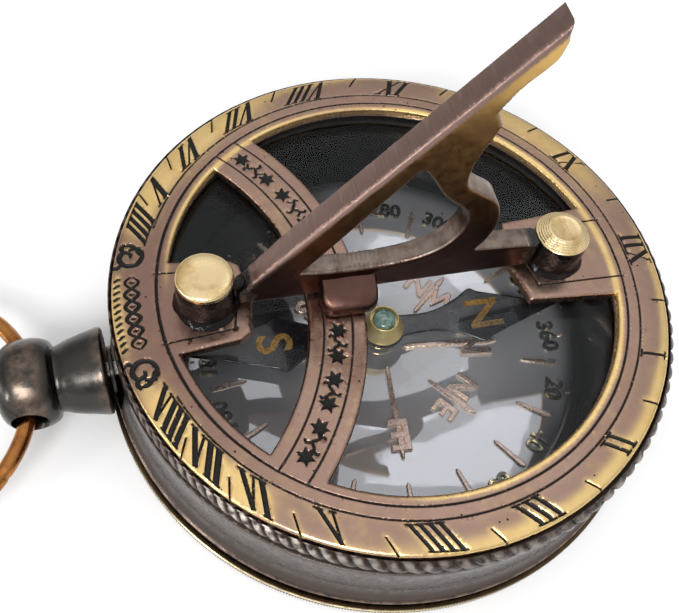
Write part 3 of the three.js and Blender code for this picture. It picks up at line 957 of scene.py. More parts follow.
def tab_marks():
    """Border lines of the two tabs that carry the hinge posts."""
    ring = INNER_GROOVE
    north = [(ring, 4.9), (19.0, 4.5), (18.2, 0), (19.0, -4.5), (ring, -4.9)]
    south = [(-ring, 5.3), (-22.6, 4.5), (-21.6, 0), (-22.6, -4.5), (-ring, -5.3)]
    return [straight(a, b, 0.26) for line in (north, south) for a, b in zip(line, line[1:])]


def groove_depth(points):
    """Inside distance of the turned grooves and of the bridge's border lines."""
    r = from_axis(points)
    degrees = degrees_round(points)
    pendant_side = smooth_step(128, 150, np.abs(degrees))
    inner = 0.14 + 0.05 * pendant_side - np.abs(r - INNER_GROOVE)
    outer = np.minimum(0.13 - np.abs(r - OUTER_GROOVE), (158 - np.abs(degrees)) * 0.6)
    best = np.maximum(inner, outer)
    rho = np.hypot(points[:, 0] - BRIDGE_X, points[:, 1])
    for radius in BRIDGE_LINES:
        line = np.minimum(0.13 - np.abs(rho - radius), INNER_GROOVE - r)
        best = np.maximum(best, line)
    return best


def plate_inside(points):
    """Distance inside the dial's outline, positive on metal."""
    r = from_axis(points)
    ring = np.minimum(CHAPTER_R - r, r - OPENING_R)
    rho = np.hypot(points[:, 0] - BRIDGE_X, points[:, 1])
    bridge = np.minimum(np.minimum(rho - BRIDGE_IN, BRIDGE_OUT - rho), CHAPTER_MIDDLE - r)
    best = np.maximum(ring, bridge)
    for tab in (NORTH_TAB, SOUTH_TAB):
        near = np.abs(points[:, 1]) < 9
        inside = np.full(len(points), -9.0)
        inside[near] = np.minimum(polygon_distance(points[near], tab), CHAPTER_MIDDLE - r[near])
        best = np.maximum(best, inside)
    return best


def cut_depth(points, strokes):
    """Inside distance of the nearest engraved stroke, -1 where none is near."""
    best = np.maximum(groove_depth(points), -1.0)
    for stroke in strokes:
        lo, hi = stroke.min(0) - 0.9, stroke.max(0) + 0.9
        near = np.nonzero(((points > lo) & (points < hi)).all(1))[0]
        if len(near):
            best[near] = np.maximum(best[near], polygon_distance(points[near], stroke))
    return best


def around(stroke, offset, step):
    """Points along a polygon's edges, moved sideways."""
    out = []
    for a, b in zip(stroke, np.roll(stroke, -1, 0)):
        length = np.linalg.norm(b - a)
        if length < 1e-6:
            continue
        d = (b - a) / length
        n = np.array([d[1], -d[0]])
        count = max(2, int(length / step) + 1)
        out.append(a + d * np.linspace(0, length, count)[:, None] + n * offset)
    return np.vstack(out)


def rows_inside(polygon, insets, step):
    """Rows of points along a polygon's edges, at each distance inside it."""
    return [around(anticlockwise(polygon), -inset, step) for inset in insets]


def anticlockwise(polygon):
    p = np.asarray(polygon)
    x, y = p.T
    area = np.sum(x * np.roll(y, -1) - np.roll(x, -1) * y)
    return p if area > 0 else p[::-1]


# rubbed stretches of the chapter ring, partly painted highlights where its brass mirrors the light: middle
# angle, half width, radius, half width, how strong
RUBBED_AND_HIGHLIT = [(136, 25, 35.9, 2.3, 1.3), (100, 16, 36.8, 0.9, 0.5), (38, 25, 35.6, 2.4, 0.85),
          (80, 22, 37.3, 0.4, 0.5), (-66, 34, 36.9, 1.2, 1.05), (-18, 24, 36.9, 0.8, 0.9),
          (-146, 17, 35.9, 1.9, 1.15), (-112, 12, 37.1, 0.5, 0.3), (180, 10, 36.9, 1.0, 0.75),
          (134, 34, 30.5, 0.42, 1.2), (40, 34, 30.6, 0.5, 1.2), (-45, 52, 30.6, 0.5, 1.4),
          (-90, 12, 30.6, 0.4, 0.8), (80, 22, 30.5, 0.4, 0.5)]


def dial_wear(points, depth):
    """How far each point of the dial shows brass: rubbed back, and partly a painted highlight."""
    r = from_axis(points)
    degrees = degrees_round(points)
    worn = np.zeros(len(points))
    for middle, half, radius, band, strength in RUBBED_AND_HIGHLIT:
        away = (degrees - middle + 180) % 360 - 180
        worn += strength * np.exp(-(away / half) ** 4) * np.exp(-((r - radius) / band) ** 2)
    # brass along the cut edges, brightest on the near half: a painted highlight on the edges that face the
    # camera
    by_cut = np.exp(-np.clip(-depth, 0, 9) / 0.3) * smooth_step(33.2, 34.2, r)
    side = smooth_step(-170, -150, degrees) * (1 - smooth_step(-40, -20, degrees))
    worn += 0.45 * by_cut * np.maximum(side, 0.3)
    return worn


def dial_plate(finish):
    strokes = [anticlockwise(s) for s in numerals() + bridge_marks() + tab_marks() + plait()
               + scroll(166.6, -1) + scroll(193.6, 1)]
    loops = [circle(CHAPTER_R, 540), circle(OPENING_R, 440),
             arc(BRIDGE_IN, -1.02, 1.02, 200, BRIDGE_X), arc(BRIDGE_OUT, -0.9, 0.9, 200, BRIDGE_X),
             finely(NORTH_TAB, 0.5), finely(SOUTH_TAB, 0.5)]
    extra = []
    for inset in (0.05, 0.14, 0.28, 0.5):
        extra += [circle(CHAPTER_R - inset, 540), circle(OPENING_R + inset, 440)]
        extra += [arc(BRIDGE_IN + inset, -1, 1, 180, BRIDGE_X), arc(BRIDGE_OUT - inset, -1, 1, 200, BRIDGE_X)]
        extra += [around(anticlockwise(t), -inset, 0.3) for t in (NORTH_TAB, SOUTH_TAB)]
    for side in (-0.26, -0.19, -0.13, -0.07, 0.07, 0.13, 0.19, 0.26):
        extra += [circle(INNER_GROOVE + side, 640), circle(OUTER_GROOVE + side, 640)]
        extra += [arc(radius + side, -1, 1, 230, BRIDGE_X) for radius in BRIDGE_LINES]
    for stroke in strokes:
        extra += [around(stroke, 0.03, 0.2), around(stroke, -0.035, 0.2), around(stroke, -0.12, 0.24)]
    extra.append(lattice((-38, 38), (-38, 38), 0.62, 0.31))
    flat, tris = triangulated(loops, np.vstack(extra), plate_inside)
    depth = cut_depth(flat, strokes)
    edge = np.maximum(plate_inside(flat), 0)
    r = from_axis(flat)
    rounding = eased(edge, RIM_ROUND)
    crown = 0.35 * np.clip((r - 33.6) / 3.9, 0, 1) ** 2
    cast = 0.02 * waves(flat[:, 0] * 0.5, flat[:, 1] * 0.5, seed=2.0)
    top = DIAL_TOP - 0.02 - rounding - crown + cast - ENGRAVED * smooth_step(-0.03, 0.1, depth)
    top = np.minimum(top, DIAL_TOP)
    points, faces = dial_body(flat, tris, top)
    unmarked = np.zeros(len(points) - len(flat))
    # worn: brass wear together with painted highlights
    marks = {"ink": np.concatenate([smooth_step(-0.035, 0.03, depth), unmarked]),
             "worn": np.concatenate([dial_wear(flat, depth), unmarked])}
    return piece("dial_engraved", points, faces, "case", "dial_bronze", ["dial_plate"], [finish],
                 sharp=60, marks=marks)


def dial_body(flat, tris, top):
    """The engraved top, its walls, and a plain underside that shares their outline."""
    edges = rim_edges(tris)
    rim = sorted({v for e in edges for v in e})
    place = {v: i for i, v in enumerate(rim)}
    outline = [(place[a], place[b]) for a, b in edges]
    out = delaunay_2d_cdt([Vector(flat[v]) for v in rim], outline, [], 0, 1e-6)
    under = np.array([f for f in out[2] if len(f) == 3])
    spots = np.array([tuple(v) for v in out[0]])
    source = [ids[0] if ids else -1 for ids in out[3]]
    centre = spots[under].mean(1)
    under = under[plate_inside(centre) > 0]
    n = len(flat)
    points = np.vstack([level(flat, top), level(flat[rim], DIAL_LOW)])
    faces = [tuple(t) for t in tris.tolist()]
    faces += [(b, a, n + place[a], n + place[b]) for a, b in edges]
    for tri in under.tolist():
        a, b, c = [source[v] for v in tri]
        p, q, s = spots[tri[0]], spots[tri[1]], spots[tri[2]]
        turn = (q[0] - p[0]) * (s[1] - p[1]) - (q[1] - p[1]) * (s[0] - p[0])
        faces.append((n + c, n + b, n + a) if turn > 0 else (n + a, n + b, n + c))
    return points, faces


# ---- case ----
def base_cover(finish):
    """Screw-on base: a finely reeded edge under a polished upper corner."""
    teeth = 640
    reeds_top = COVER_TOP - 0.42
    spigot, spigot_top, hollow = 35.9, 3.6, 34.0
    outline = [(0, 0), (COVER_R - 0.35, 0), (COVER_R - 0.02, 0.3), (COVER_R - 0.02, reeds_top - 0.1),
               (COVER_R - 0.1, reeds_top), (COVER_R, reeds_top + 0.1), (COVER_R - 0.03, COVER_TOP - 0.14),
               (COVER_R - 0.2, COVER_TOP), (38.7, COVER_TOP), (spigot, COVER_TOP), (spigot, spigot_top),
               (hollow, spigot_top), (hollow, COVER_FLOOR), (0, COVER_FLOOR)]

    def reeded(angle, r, z):
        on_edge = smooth_step(COVER_R - 0.3, COVER_R - 0.06, r) * (z < reeds_top - 0.05)
        return r - 0.13 * on_edge * (0.5 - 0.5 * np.cos(angle * teeth)), z

    points, faces = lathe(outline, teeth * 4, reeded, closed=False)
    r = from_axis(points)
    side = smooth_step(COVER_R - 0.36, COVER_R - 0.2, r)
    degrees = degrees_round(points)
    # the corner's bright colour is mostly a painted highlight on the near left, over a little polish all
    # round
    glint_side = 0.12 + 0.88 * np.exp(-((degrees + 118) / 36) ** 4)
    corner = smooth_step(COVER_R - 0.17, COVER_R - 0.08, r)
    above_reeds = smooth_step(reeds_top - 0.05, reeds_top + 0.05, points[:, 2])
    worn = corner * above_reeds * glint_side
    return piece("base_cover_reeded", points, faces, "case", "polished_brass", ["base_cover"],
                 [finish], marks={"worn": worn, "reeds": side})


def case_body(finish):
    """Wall of the case, which spreads to a rolled lip above the dark groove."""
    wall = CASE_R - 1.1
    flare = smooth_line([(CASE_R, 3.0), (wall + 0.66, 3.5), (wall + 0.28, 4.3), (wall + 0.05, 5.5),
                         (wall, 7.0), (wall, 12.9)], 18)
    foot, neck = 1.8, CASE_R - 0.7
    inside, spigot, spigot_top, shoulder = 36.2, 36.9, 16.1, 12.9
    glass_well, ledge, ledge_top = 34.9, 32.5, 13.3
    outline = [(inside, foot), (neck, foot), (neck, 2.3), (CASE_R - 0.12, 2.42),
               (CASE_R - 0.02, 2.6), *flare, (spigot, shoulder), (spigot, spigot_top),
               (glass_well, spigot_top), (glass_well, ledge_top), (ledge, ledge_top), (ledge, 12.1),
               (inside, 10.9)]
    points, faces = lathe(softened(outline, 0.12, 3), 288)
    r = from_axis(points)
    worn = smooth_step(CASE_R - 0.3, CASE_R - 0.03, r)
    return piece("case_wall", points, faces, "case", "gunmetal", ["case_body"], [finish],
                 marks={"worn": worn})


def bead_count(angle):
    """Beads of the rope up to an angle, closer together on the near left."""
    beads, near_left = 111, 3.84
    grid = np.linspace(0, TAU, 721)
    crowd = 1 + 0.42 * np.exp(-(turn_from(grid, near_left) / 0.62) ** 2)
    total = np.concatenate([[0], np.cumsum((crowd[1:] + crowd[:-1]) / 2)])
    return np.interp(angle, grid, total / total[-1] * beads)


def rope_bezel(finish):
    """Screwed ring with a rope of slanting beads round it, with painted highlights on the beads' upper crests
    on the near left.
    """
    columns = 1400
    bulge = np.linspace(-1, 1, 15)
    middle = (BEZEL_LOW + BEZEL_HIGH) / 2 + 0.35
    half = 1.75
    rise = 1.1
    rope = [(BEZEL_R - rise + rise * math.sqrt(max(1 - (0.96 * t) ** 2, 0)), middle + half * t)
            for t in bulge]
    thread, skirt, dial_well, opening = 37.2, 38.15, 37.8, 34.5
    seat, underside = DIAL_LOW - 0.3, 16.4
    profile = [(thread, BEZEL_LOW), (37.9, BEZEL_LOW), (skirt, BEZEL_LOW + 0.15),
               (skirt, middle - half - 0.35), *rope, (37.95, BEZEL_HIGH - 0.3),
               (dial_well, BEZEL_HIGH - 0.25), (dial_well, seat), (opening, seat),
               (opening, underside), (thread, underside)]

    def bead(angle, height):
        return np.abs(np.sin(math.pi * (bead_count(angle) + 0.55 * height)))

    def off_centre(angle):
        """How far the rope lies inside the bezel's own circle."""
        return 0.45 * (1 + np.cos(angle - 2.7))

    def twisted(angle, r, z):
        height = (z - middle) / half
        on_rope = smooth_step(37.9, 38.3, r) * (np.abs(height) < 1.02)
        gap = 0.62 * (1 - bead(angle, height) ** 0.36) * (1 + 0.12 * waves(angle * 31, seed=3.0))
        return r - on_rope * (off_centre(angle) + gap), z

    points, faces = lathe(profile, columns, twisted)
    r = from_axis(points)
    angle = np.arctan2(points[:, 1], points[:, 0]) % TAU
    between = bead(angle, (points[:, 2] - middle) / half)
    # painted highlight: the beads' upper crests are coloured light only on the near left, where the side
    # light glances off them
    glint_side = 0.3 + 0.7 * np.exp(-(turn_from(angle, 4.02) / 0.24) ** 2)
    upper = smooth_step(-0.5, 0.3, (points[:, 2] - middle) / half)
    crest = smooth_step(BEZEL_R - 0.9, BEZEL_R - 0.4, r + off_centre(angle))
    worn = glint_side * upper * smooth_step(0.5, 0.85, between) * crest
    return piece("bezel_rope", points, faces, "case", "gunmetal", ["rope_bezel"], [finish],
                 sharp=50, marks={"worn": worn})


# ---- compass ----
def compass_bowl(finish):
    floor = low("compass_bowl")[2]
    rim = high("compass_bowl")[2]
    sheet, flange = 0.4, 0.8
    outer, inner = 32.2, 31.2
    outline = [(PIVOT_HOLE_R, floor), (outer, floor), (outer, rim - flange), (BOWL_R, rim - flange),
               (BOWL_R, rim), (inner, rim), (inner, floor + sheet), (PIVOT_HOLE_R, floor + sheet)]
    return turned("bowl_wall", softened(outline, 0.25, 3), 240, "case", "black_enamel", "compass_bowl",
                  finish)


def compass_card(finish):
    bottom = low("compass_card")[2]
    groove = CARD_TOP - 0.06
    outline = [(PIVOT_HOLE_R, bottom), (CARD_R, bottom), (CARD_R, CARD_TOP), (29.9, CARD_TOP),
               (29.7, groove), (29.4, groove), (29.2, CARD_TOP), (PIVOT_HOLE_R, CARD_TOP)]
    return turned("card_disc", softened(outline, 0.08, 2), 240, "case", "black_enamel", "compass_card",
                  finish, sharp=60)


CARD_TURN = math.radians(-5)
CARD_SHIFT = (0, -2.2)  # the rose is set a little off the pivot


def bearing_frame(degrees):
    """Matrix with +X along a bearing of the card, which runs clockwise from north, near +X."""
    return (Matrix.Translation((*CARD_SHIFT, CARD_TOP - 0.02))
            @ Matrix.Rotation(CARD_TURN - math.radians(degrees), 4, "Z"))


def outward(degrees, radius, sideways=0.0):
    """Matrix that stands a letter on the card, its top away from the hub."""
    place = bearing_frame(degrees) @ Matrix.Translation((radius, -sideways, 0))
    return place @ Matrix.Rotation(-math.pi / 2, 4, "Z")


def pointer(start, end, width, tip, tall):
    """A raised bar along +X that ends in a blunt arrowhead."""
    half = width / 2
    outline = [(start, -half * 0.7), (end - tip, -half), (end, -half * 0.35), (end, half * 0.35),
               (end - tip, half), (start, half * 0.7), (start - half, 0)]
    return raised(outline, 0.0, tall, 0.17)


def card_letters(finish):
    """Raised points of the compass and their pointers."""
    parts = []
    tall = 0.42
    for i, text in enumerate(("N", "E", "S", "W")):
        parts.append(moved(pointer(3.4, 17.6, 0.95, 1.6, tall + 0.12), bearing_frame(i * 90)))
        parts.append(moved(lettering(text, 6.6, tall, 0.17, 0.02), outward(i * 90, 14.0)))
    for i, (first, second) in enumerate((("N", "E"), ("S", "E"), ("S", "W"), ("N", "W"))):
        bearing = 45 + i * 90
        parts.append(moved(pointer(8.6, 16.6, 0.95, 1.2, tall), bearing_frame(bearing)))
        for letter_text, aside in ((first, -2.4), (second, 2.4)):
            shape = lettering(letter_text, 4.8, tall, 0.14, 0.02)
            parts.append(moved(shape, outward(bearing, 12.8, aside)))
    return figures("card_letters", parts, "case", finish)


def card_ticks(finish):
    """Raised ten-degree strokes, long and short by turns."""
    parts = []
    for i in range(36):
        start, end, width, tip = (21.4, 26.6, 0.95, 0.6) if i % 2 else (28.0, 28.5, 0.35, 0.2)
        parts.append(moved(pointer(start, end, width, tip, 0.4), bearing_frame(i * 10)))
    return figures("card_ticks", parts, "case", finish)


def card_figures(finish):
    """Degrees every twenty, in dark relief."""
    parts = [moved(lettering(str(d or 360), 3.5, 0.32, 0.08, 0.05), outward(d, 26.0))
             for d in range(0, 360, 20)]
    return figures("card_figures", parts, "case", finish)


def pivot_boss(finish):
    base = low("pivot_boss")[2]
    bore, shank, head = 0.8, 1.4, 2.6
    under, top = CARD_TOP + 0.3, CARD_TOP + 0.9
    outline = [(bore, base), (shank, base), (shank, under), (head, under), (head, CARD_TOP + 0.7),
               (1.6, top), (bore, top)]
    return turned("boss_turned", softened(outline, 0.12, 3), 64, "case", "polished_brass", "pivot_boss",
                  finish)


def needle_outline(sign):
    side = [(1.2, 1.9), (8, 1.7), (12.4, 3.2), (15.2, 4.7), (16.2, 4.1), (21, 2.4)]
    upper = smooth_line(side, 40) * [sign, sign]
    return np.vstack([upper, [[sign * 28.6, 0]], (upper * [1, -1])[::-1]])


def compass_needle(finish):
    """Leaf-shaped needle with a ring round the hub."""
    north, south = needle_outline(1), needle_outline(-1)
    ring, bore = 3.4, 2.3

    def inside(p):
        r = from_axis(p)
        leaves = np.maximum(polygon_distance(p, north), polygon_distance(p, south))
        return np.minimum(np.maximum(leaves, ring - r), r - bore)

    loops = [finely(north, 0.4), finely(south, 0.4), circle(ring, 80), circle(bore, 60)]
    insets = (0.05, 0.14, 0.3)
    extra = rows_inside(north, (*insets, 0.55), 0.3) + rows_inside(south, (*insets, 0.55), 0.3)
    extra += [circle(ring - inset, 80) for inset in insets]
    extra += [circle(bore + inset, 60) for inset in insets]
    extra.append(lattice((-28, 28), (-5, 5), 0.7))
    flat, tris = triangulated(loops, np.vstack(extra), inside)
    rounding = eased(np.maximum(inside(flat), 0), 0.16)
    points, faces = slab(flat, tris, NEEDLE_TOP - rounding, NEEDLE_LOW + rounding)
    return piece("needle_leaf", points, faces, "needle", "needle_black", ["compass_needle"],
                 [finish], sharp=50)


def needle_letters(finish):
    """Gilt N and S, read with north away from the reader."""
    lift = NEEDLE_TOP - 0.01
    parts = []
    for text, x in (("N", 16.2), ("S", -16.2)):
        turn = Matrix.Translation((x, 0, lift)) @ Matrix.Rotation(-math.pi / 2, 4, "Z")
        parts.append(moved(lettering(text, 7.2, 0.07, 0.02, 0.12), turn))
    return figures("needle_gilding", parts, "needle", finish)


def needle_hub(finish):
    """Turned cone that holds the jewel."""
    over = NEEDLE_TOP + 0.3
    top = high("needle_hub")[2]
    bore, stem, foot, seat = 0.9, 2.0, 3.2, 6.9
    under = NEEDLE_LOW - 0.4
    outline = [(bore, under), (stem, under), (stem, over), (foot, over), (foot, over + 0.15),
               (3.06, over + 0.3), (2.62, top - 1.2), (2.2, top - 0.22), (2.14, top - 0.06), (2.06, top),
               (stem, top), (stem, seat), (bore, seat)]
    return turned("hub_cone", softened(outline, 0.08, 3), 96, "needle", "polished_brass", "needle_hub",
                  finish, sharp=30)


def jewel(finish):
    top = high("jewel_cup")[2]
    radius, girdle = 1.7, 7.45
    dome = [(radius, girdle)] + [(radius * math.cos(a), girdle + (top - girdle) * math.sin(a))
                                 for a in np.linspace(0.15, math.pi / 2, 9)]
    dome[-1] = (0, top)
    profile = [(0, 7.35), (0.5, 7.2), (radius - 0.15, 7.2), (radius, 7.3)] + dome
    return turned("jewel_dome", profile, 64, "needle", "jewel_glass", "jewel_cup", finish, closed=False)


def crystal(finish):
    radius = high("crystal_glass")[0]
    outline = [(0, GLASS_LOW), (radius, GLASS_LOW), (radius, GLASS_TOP), (0, GLASS_TOP)]
    return turned("crystal_pane", softened(outline, 0.25, 3, closed=False), 160, "case", "clear_glass",
                  "crystal_glass", finish, closed=False, sharp=30)


# ---- hinge ----
def post(end, brass, lacquer):
    """Hinge post: lacquered pillar that spreads at its foot, with a bare turned top."""
    foot = DIAL_TOP + 0.02
    x = POST_X[end]
    cap = 3.65
    steps = [(cap, 1.3)]
    for i in range(5):
        r, drop = cap - 0.26 * i, 1.2 - 0.23 * i
        steps += [(r, drop), (r - 0.07, drop - 0.08), (r - 0.2, drop - 0.1), (r - 0.25, drop - 0.14)]
    steps += [(2.32, 0.05), (2.2, 0.0), (2.0, 0.0), (1.9, 0.03), (1.6, 0.05)]
    plain = [(cap, 0.95), (cap, 0.6), (3.6, 0.42), (3.46, 0.24), (3.2, 0.1), (2.8, 0.02), (2.3, 0.0),
             (2.0, 0.02), (1.7, 0.06)]
    crown = steps if end == "north" else plain
    pillar = [(0, foot), (POST_R, foot), (POST_R, foot + 0.5), (POST_R, foot + 2.5), (POST_R, POST_TOP - 1.4)]
    profile = pillar + [(r, POST_TOP - d) for r, d in crown] + [(0.8, POST_TOP - 0.08), (0, POST_TOP - 0.09)]
    profile = finely(profile, 0.35, closed=False)

    def pooled(angle, r, z):
        h = z - foot
        lump = 0.5 + 0.5 * waves(angle * 2, h * 0.9 + angle, seed=4.0 + x)
        skirt = np.exp(-(h / 0.55) ** 2) * (0.35 + 0.55 * lump)
        side = 0.07 * lump * smooth_step(0.2, 1.0, h) * smooth_step(POST_TOP - 1.0, POST_TOP - 2.2, z)
        outer = smooth_step(3.0, 3.5, r)
        return r + outer * (skirt + side), z

    points, faces = lathe(profile, 120, pooled, closed=False)
    centre = np.array([points[list(f)].mean(0) for f in faces])
    angle = np.arctan2(centre[:, 1], centre[:, 0])
    line = POST_TOP - (1.24 if end == "north" else 0.86) + 0.06 * waves(angle * 3, seed=x)
    which = np.where(centre[:, 2] > line, 0, 1)
    return piece("post_" + end + "_turned", points + [x, 0, 0], faces, "case", "black_lacquer",
                 ["post_" + end], [brass, lacquer], sharp=35, which=which)


def gnomon_outline():
    """The upright's outline and its window: along the noon line, and above the dial."""
    south, north = low("gnomon")[0], high("gnomon")[0]
    tip = (10.05, high("gnomon")[2] - DIAL_TOP)
    scroll_edge = smooth_line([(9.2, 6.2), (10.3, 8.6), (10.8, 12.2), (9.6, 16.0), (7.0, 18.2),
                               (5.0, 20.0), (4.7, 23.0), (5.9, 27.6), (6.4, 29.6)], 80)
    nose = smooth_line([(5.4, 31.6), (7.25, 35.1), (8.85, 37.0), (9.75, 38.3), (10.1, 39.8),
                        (10.15, 41.4), tip], 50)
    outer = [(south, 0.7), (north, 0.7), (north, 5.4), *scroll_edge, *nose, (-21.0, 3.7), (south, 2.9)]
    window = [*smooth_line([(-13.9, 5.8), (-9.4, 5.3), (-3.0, 5.3), (1.8, 6.3), (4.8, 8.3), (6.3, 11.6),
                            (6.1, 14.2), (5.0, 15.8), (2.5, 18.2), (0.6, 21.2), (-0.9, 23.4)], 110),
              (-1.7, 23.2)]
    return np.array(outer), np.array(window)


def gnomon(finish):
    """The shadow-casting plate, its edges eased, standing in the plane of the noon line."""
    outer, window = gnomon_outline()
    tall = high("gnomon")[2] - DIAL_TOP
    slope = (tall - 3.7) / (10.05 + 21.0)

    def below_style(p):
        return (3.7 + slope * (p[:, 0] + 21.0) - p[:, 1]) / math.hypot(1, slope)

    def inside(p):
        return np.minimum(polygon_distance(p, outer), -polygon_distance(p, window))

    loops = [finely(outer, 0.45), finely(window, 0.45)]
    insets = np.array((0.06, 0.16, 0.32, 0.52, 0.9))
    extra = rows_inside(outer, insets, 0.4) + rows_inside(window, -insets, 0.4)
    extra.append(lattice((-22, 19), (0.5, 43), 0.7))
    flat, tris = triangulated(loops, np.vstack(extra), inside)
    depth = np.maximum(inside(flat), 0)
    half = 1.55 + 0.14 * smooth_step(3, 12, flat[:, 1])
    at_style = smooth_step(1.4, 0.9, below_style(flat)) * smooth_step(2, 12, flat[:, 1])
    uneven = 0.04 * waves(flat[:, 0] * 0.8, flat[:, 1] * 0.8, seed=5.0) * smooth_step(0.4, 1.2, depth)

    def surface(ease, inset):
        return half - eased(depth, ease) - inset + (inset > 0) * uneven

    near = surface(0.42 + 0.4 * at_style, 0.05)
    far = surface(0.42 - 0.3 * at_style, 0.05 * (1 - at_style))
    points, faces = slab(flat, tris, near, -far)
    style = smooth_step(0.95, 0.6, below_style(points))
    edge = np.concatenate([smooth_step(0.3, 0.05, depth)] * 2)
    to_posts = np.minimum(flat[:, 0] - low("gnomon")[0], high("gnomon")[0] - flat[:, 0])
    lumpy = 0.5 * waves(flat[:, 0] * 2.1, flat[:, 1] * 1.7, seed=8.0)
    lacquer = np.concatenate([smooth_step(2.0, 1.4, to_posts + lumpy)] * 2)
    upright = points @ np.array([[1, 0, 0], [0, 0, 1], [0, -1, 0]]) + [0, 0, DIAL_TOP]
    marks = {"tall": points[:, 1] / tall, "edge": edge * (1 - style), "face": style, "lacquer": lacquer}
    return piece("gnomon_cast", upright, faces, "gnomon", "gnomon_bronze", ["gnomon"], [finish],
                 sharp=50, marks=marks)


def stop_foot(finish):
    """Rounded foot that stops the gnomon against the bridge."""
    west, east = -11.3, -3.8
    reach = 5.2
    plan = anticlockwise(softened([(west, 1.0), (west, -reach), (east, -reach), (east, 1.0)], 1.9, 6))
    centre = np.array([(west + east) / 2, -1.5])
    size = np.abs(plan - centre).max(0)
    rings = []
    for inset, height in ((0.25, 0.3), (0.05, 0.42), (0.0, 0.75), (0.0, 1.3), (0.12, 1.75), (0.35, 2.0)):
        ring = centre + (plan - centre) * (1 - inset / size)
        rise = np.clip((ring[:, 1] + reach) * 0.62, 0, 2.3) * smooth_step(0.7, 1.9, height)
        rings.append(level(ring, height + rise))
    points, faces = stacked(rings)
    zero = np.zeros(len(points))
    return piece("gnomon_foot", points + [0, 0, DIAL_TOP], faces, "gnomon", "gnomon_bronze", [], [finish],
                 sharp=40, marks={"tall": zero, "edge": zero, "face": zero + 0.3, "lacquer": zero})


# ---- pendant ----
def pendant_frame():
    return (Matrix.Translation((0, 0, PENDANT_Z)) @ Matrix.Rotation(PENDANT_TURN, 4, "Z")
            @ Matrix.Rotation(-math.pi / 2, 4, "Y"))


def pendant_collar(finish):
    bore, rim, start, end = 1.3, 3.2, 38.6, 39.2
    outline = [(bore, start), (rim, start), (rim, end), (bore, end)]
    points, faces = moved(lathe(softened(outline, 0.12, 3), 96), pendant_frame())
    return piece("collar_turned", points, faces, "case", "gunmetal", ["pendant_collar"], [finish],
                 marks={"worn": np.zeros(len(points))})


def pendant_stem(finish):
    """Flared stem and ball, with the cross hole for the bow."""
    neck = smooth_line([(6.0, 40.2), (5.62, 41.8), (5.0, 44.3), (4.45, 45.7), (4.45, 46.0)], 12)
    ball = smooth_line([(4.6, 46.1), (5.3, 46.5), (5.9, 47.7), (6.1, 49.6), (5.8, 51.6), (4.8, 53.0),
                        (3.2, 53.75), (1.6, 53.95), (0, 54.0)], 34)
    profile = [(0, 39.5), (5.6, 39.5), (5.85, 39.6), (6.0, 39.85), *neck, *ball]
    points, faces = lathe(finely(profile, 0.5, closed=False), 128, closed=False)
    r = from_axis(points)
    worn = 0.5 * smooth_step(5.7, 6.1, r)
    points = moved((points, faces), pendant_frame())[0]
    obj = piece("stem_turned", points, faces, "case", "gunmetal", ["pendant_stem"], [finish],
                marks={"worn": worn})
    flare = [(2.6, -8), (2.6, -5.9), (2.25, -5.4), (2.1, -4.6), (2.1, 4.6), (2.25, 5.4), (2.6, 5.9), (2.6, 8)]
    hole = lathe([(0, -8), *flare, (0, 8)], 64, closed=False)
    lie = pendant_frame() @ Matrix.Translation((0, 0, BOW_HOLE)) @ Matrix.Rotation(math.pi / 2, 4, "X")
    return cut(obj, moved(hole, lie))


def bow_ring(finish):
    """Bow of drawn wire, bent by hand, butted where its ends meet."""
    lie = (Matrix.Translation((0, 0, PENDANT_Z)) @ Matrix.Rotation(PENDANT_TURN, 4, "Z")
           @ Matrix.Translation((-BOW_HOLE, 0, 0)) @ Matrix.Rotation(math.radians(-10.5), 4, "Y"))
    around_count, section = 260, 28
    big, wire, slack = 16.95, 1.08, 0.6
    a = np.arange(around_count) / around_count * TAU
    s = np.arange(section) / section * TAU
    angle, turn = np.meshgrid(a, s, indexing="ij")
    butt = np.exp(-(turn_from(angle, 2.4 + math.pi) / 0.012) ** 2)
    radius = wire * (1 - 0.16 * butt) * (1 - 0.012 + 0.012 * waves(angle * 9, turn, seed=6.0))
    from_hole = np.abs(turn_from(angle, 0))
    big_here = big + 0.05 * np.sin(2 * angle + 0.6) * smooth_step(0.3, 0.9, from_hole)
    x = (big_here + radius * np.cos(turn)) * np.cos(angle) + slack - big
    y = (big_here + radius * np.cos(turn)) * np.sin(angle)
    z = radius * np.sin(turn)
    points = np.stack([x, y, z], -1).reshape(-1, 3)
    faces = [(i * section + j, (i + 1) % around_count * section + j,
              (i + 1) % around_count * section + (j + 1) % section, i * section + (j + 1) % section)
             for i in range(around_count) for j in range(section)]
    points, faces = moved((points, faces), lie)
    return piece("bow_wire", points, faces, "bow", "bow_copper", ["bow_ring"], [finish])


# ---- studio ----
def softbox(name, place, target, width, height, power, colour=(1, 1, 1)):
    light = bpy.data.lights.new(name, "AREA")
    light.shape = "RECTANGLE"
    light.size, light.size_y = width, height
    light.energy = power
    light.color = colour
    holder = bpy.data.objects.new(name, light)
    bpy.context.scene.collection.objects.link(holder)
    holder.location = place
    holder.rotation_mode = "QUATERNION"
    holder.rotation_quaternion = (Vector(target) - Vector(place)).to_track_quat("-Z", "Y")
    return holder


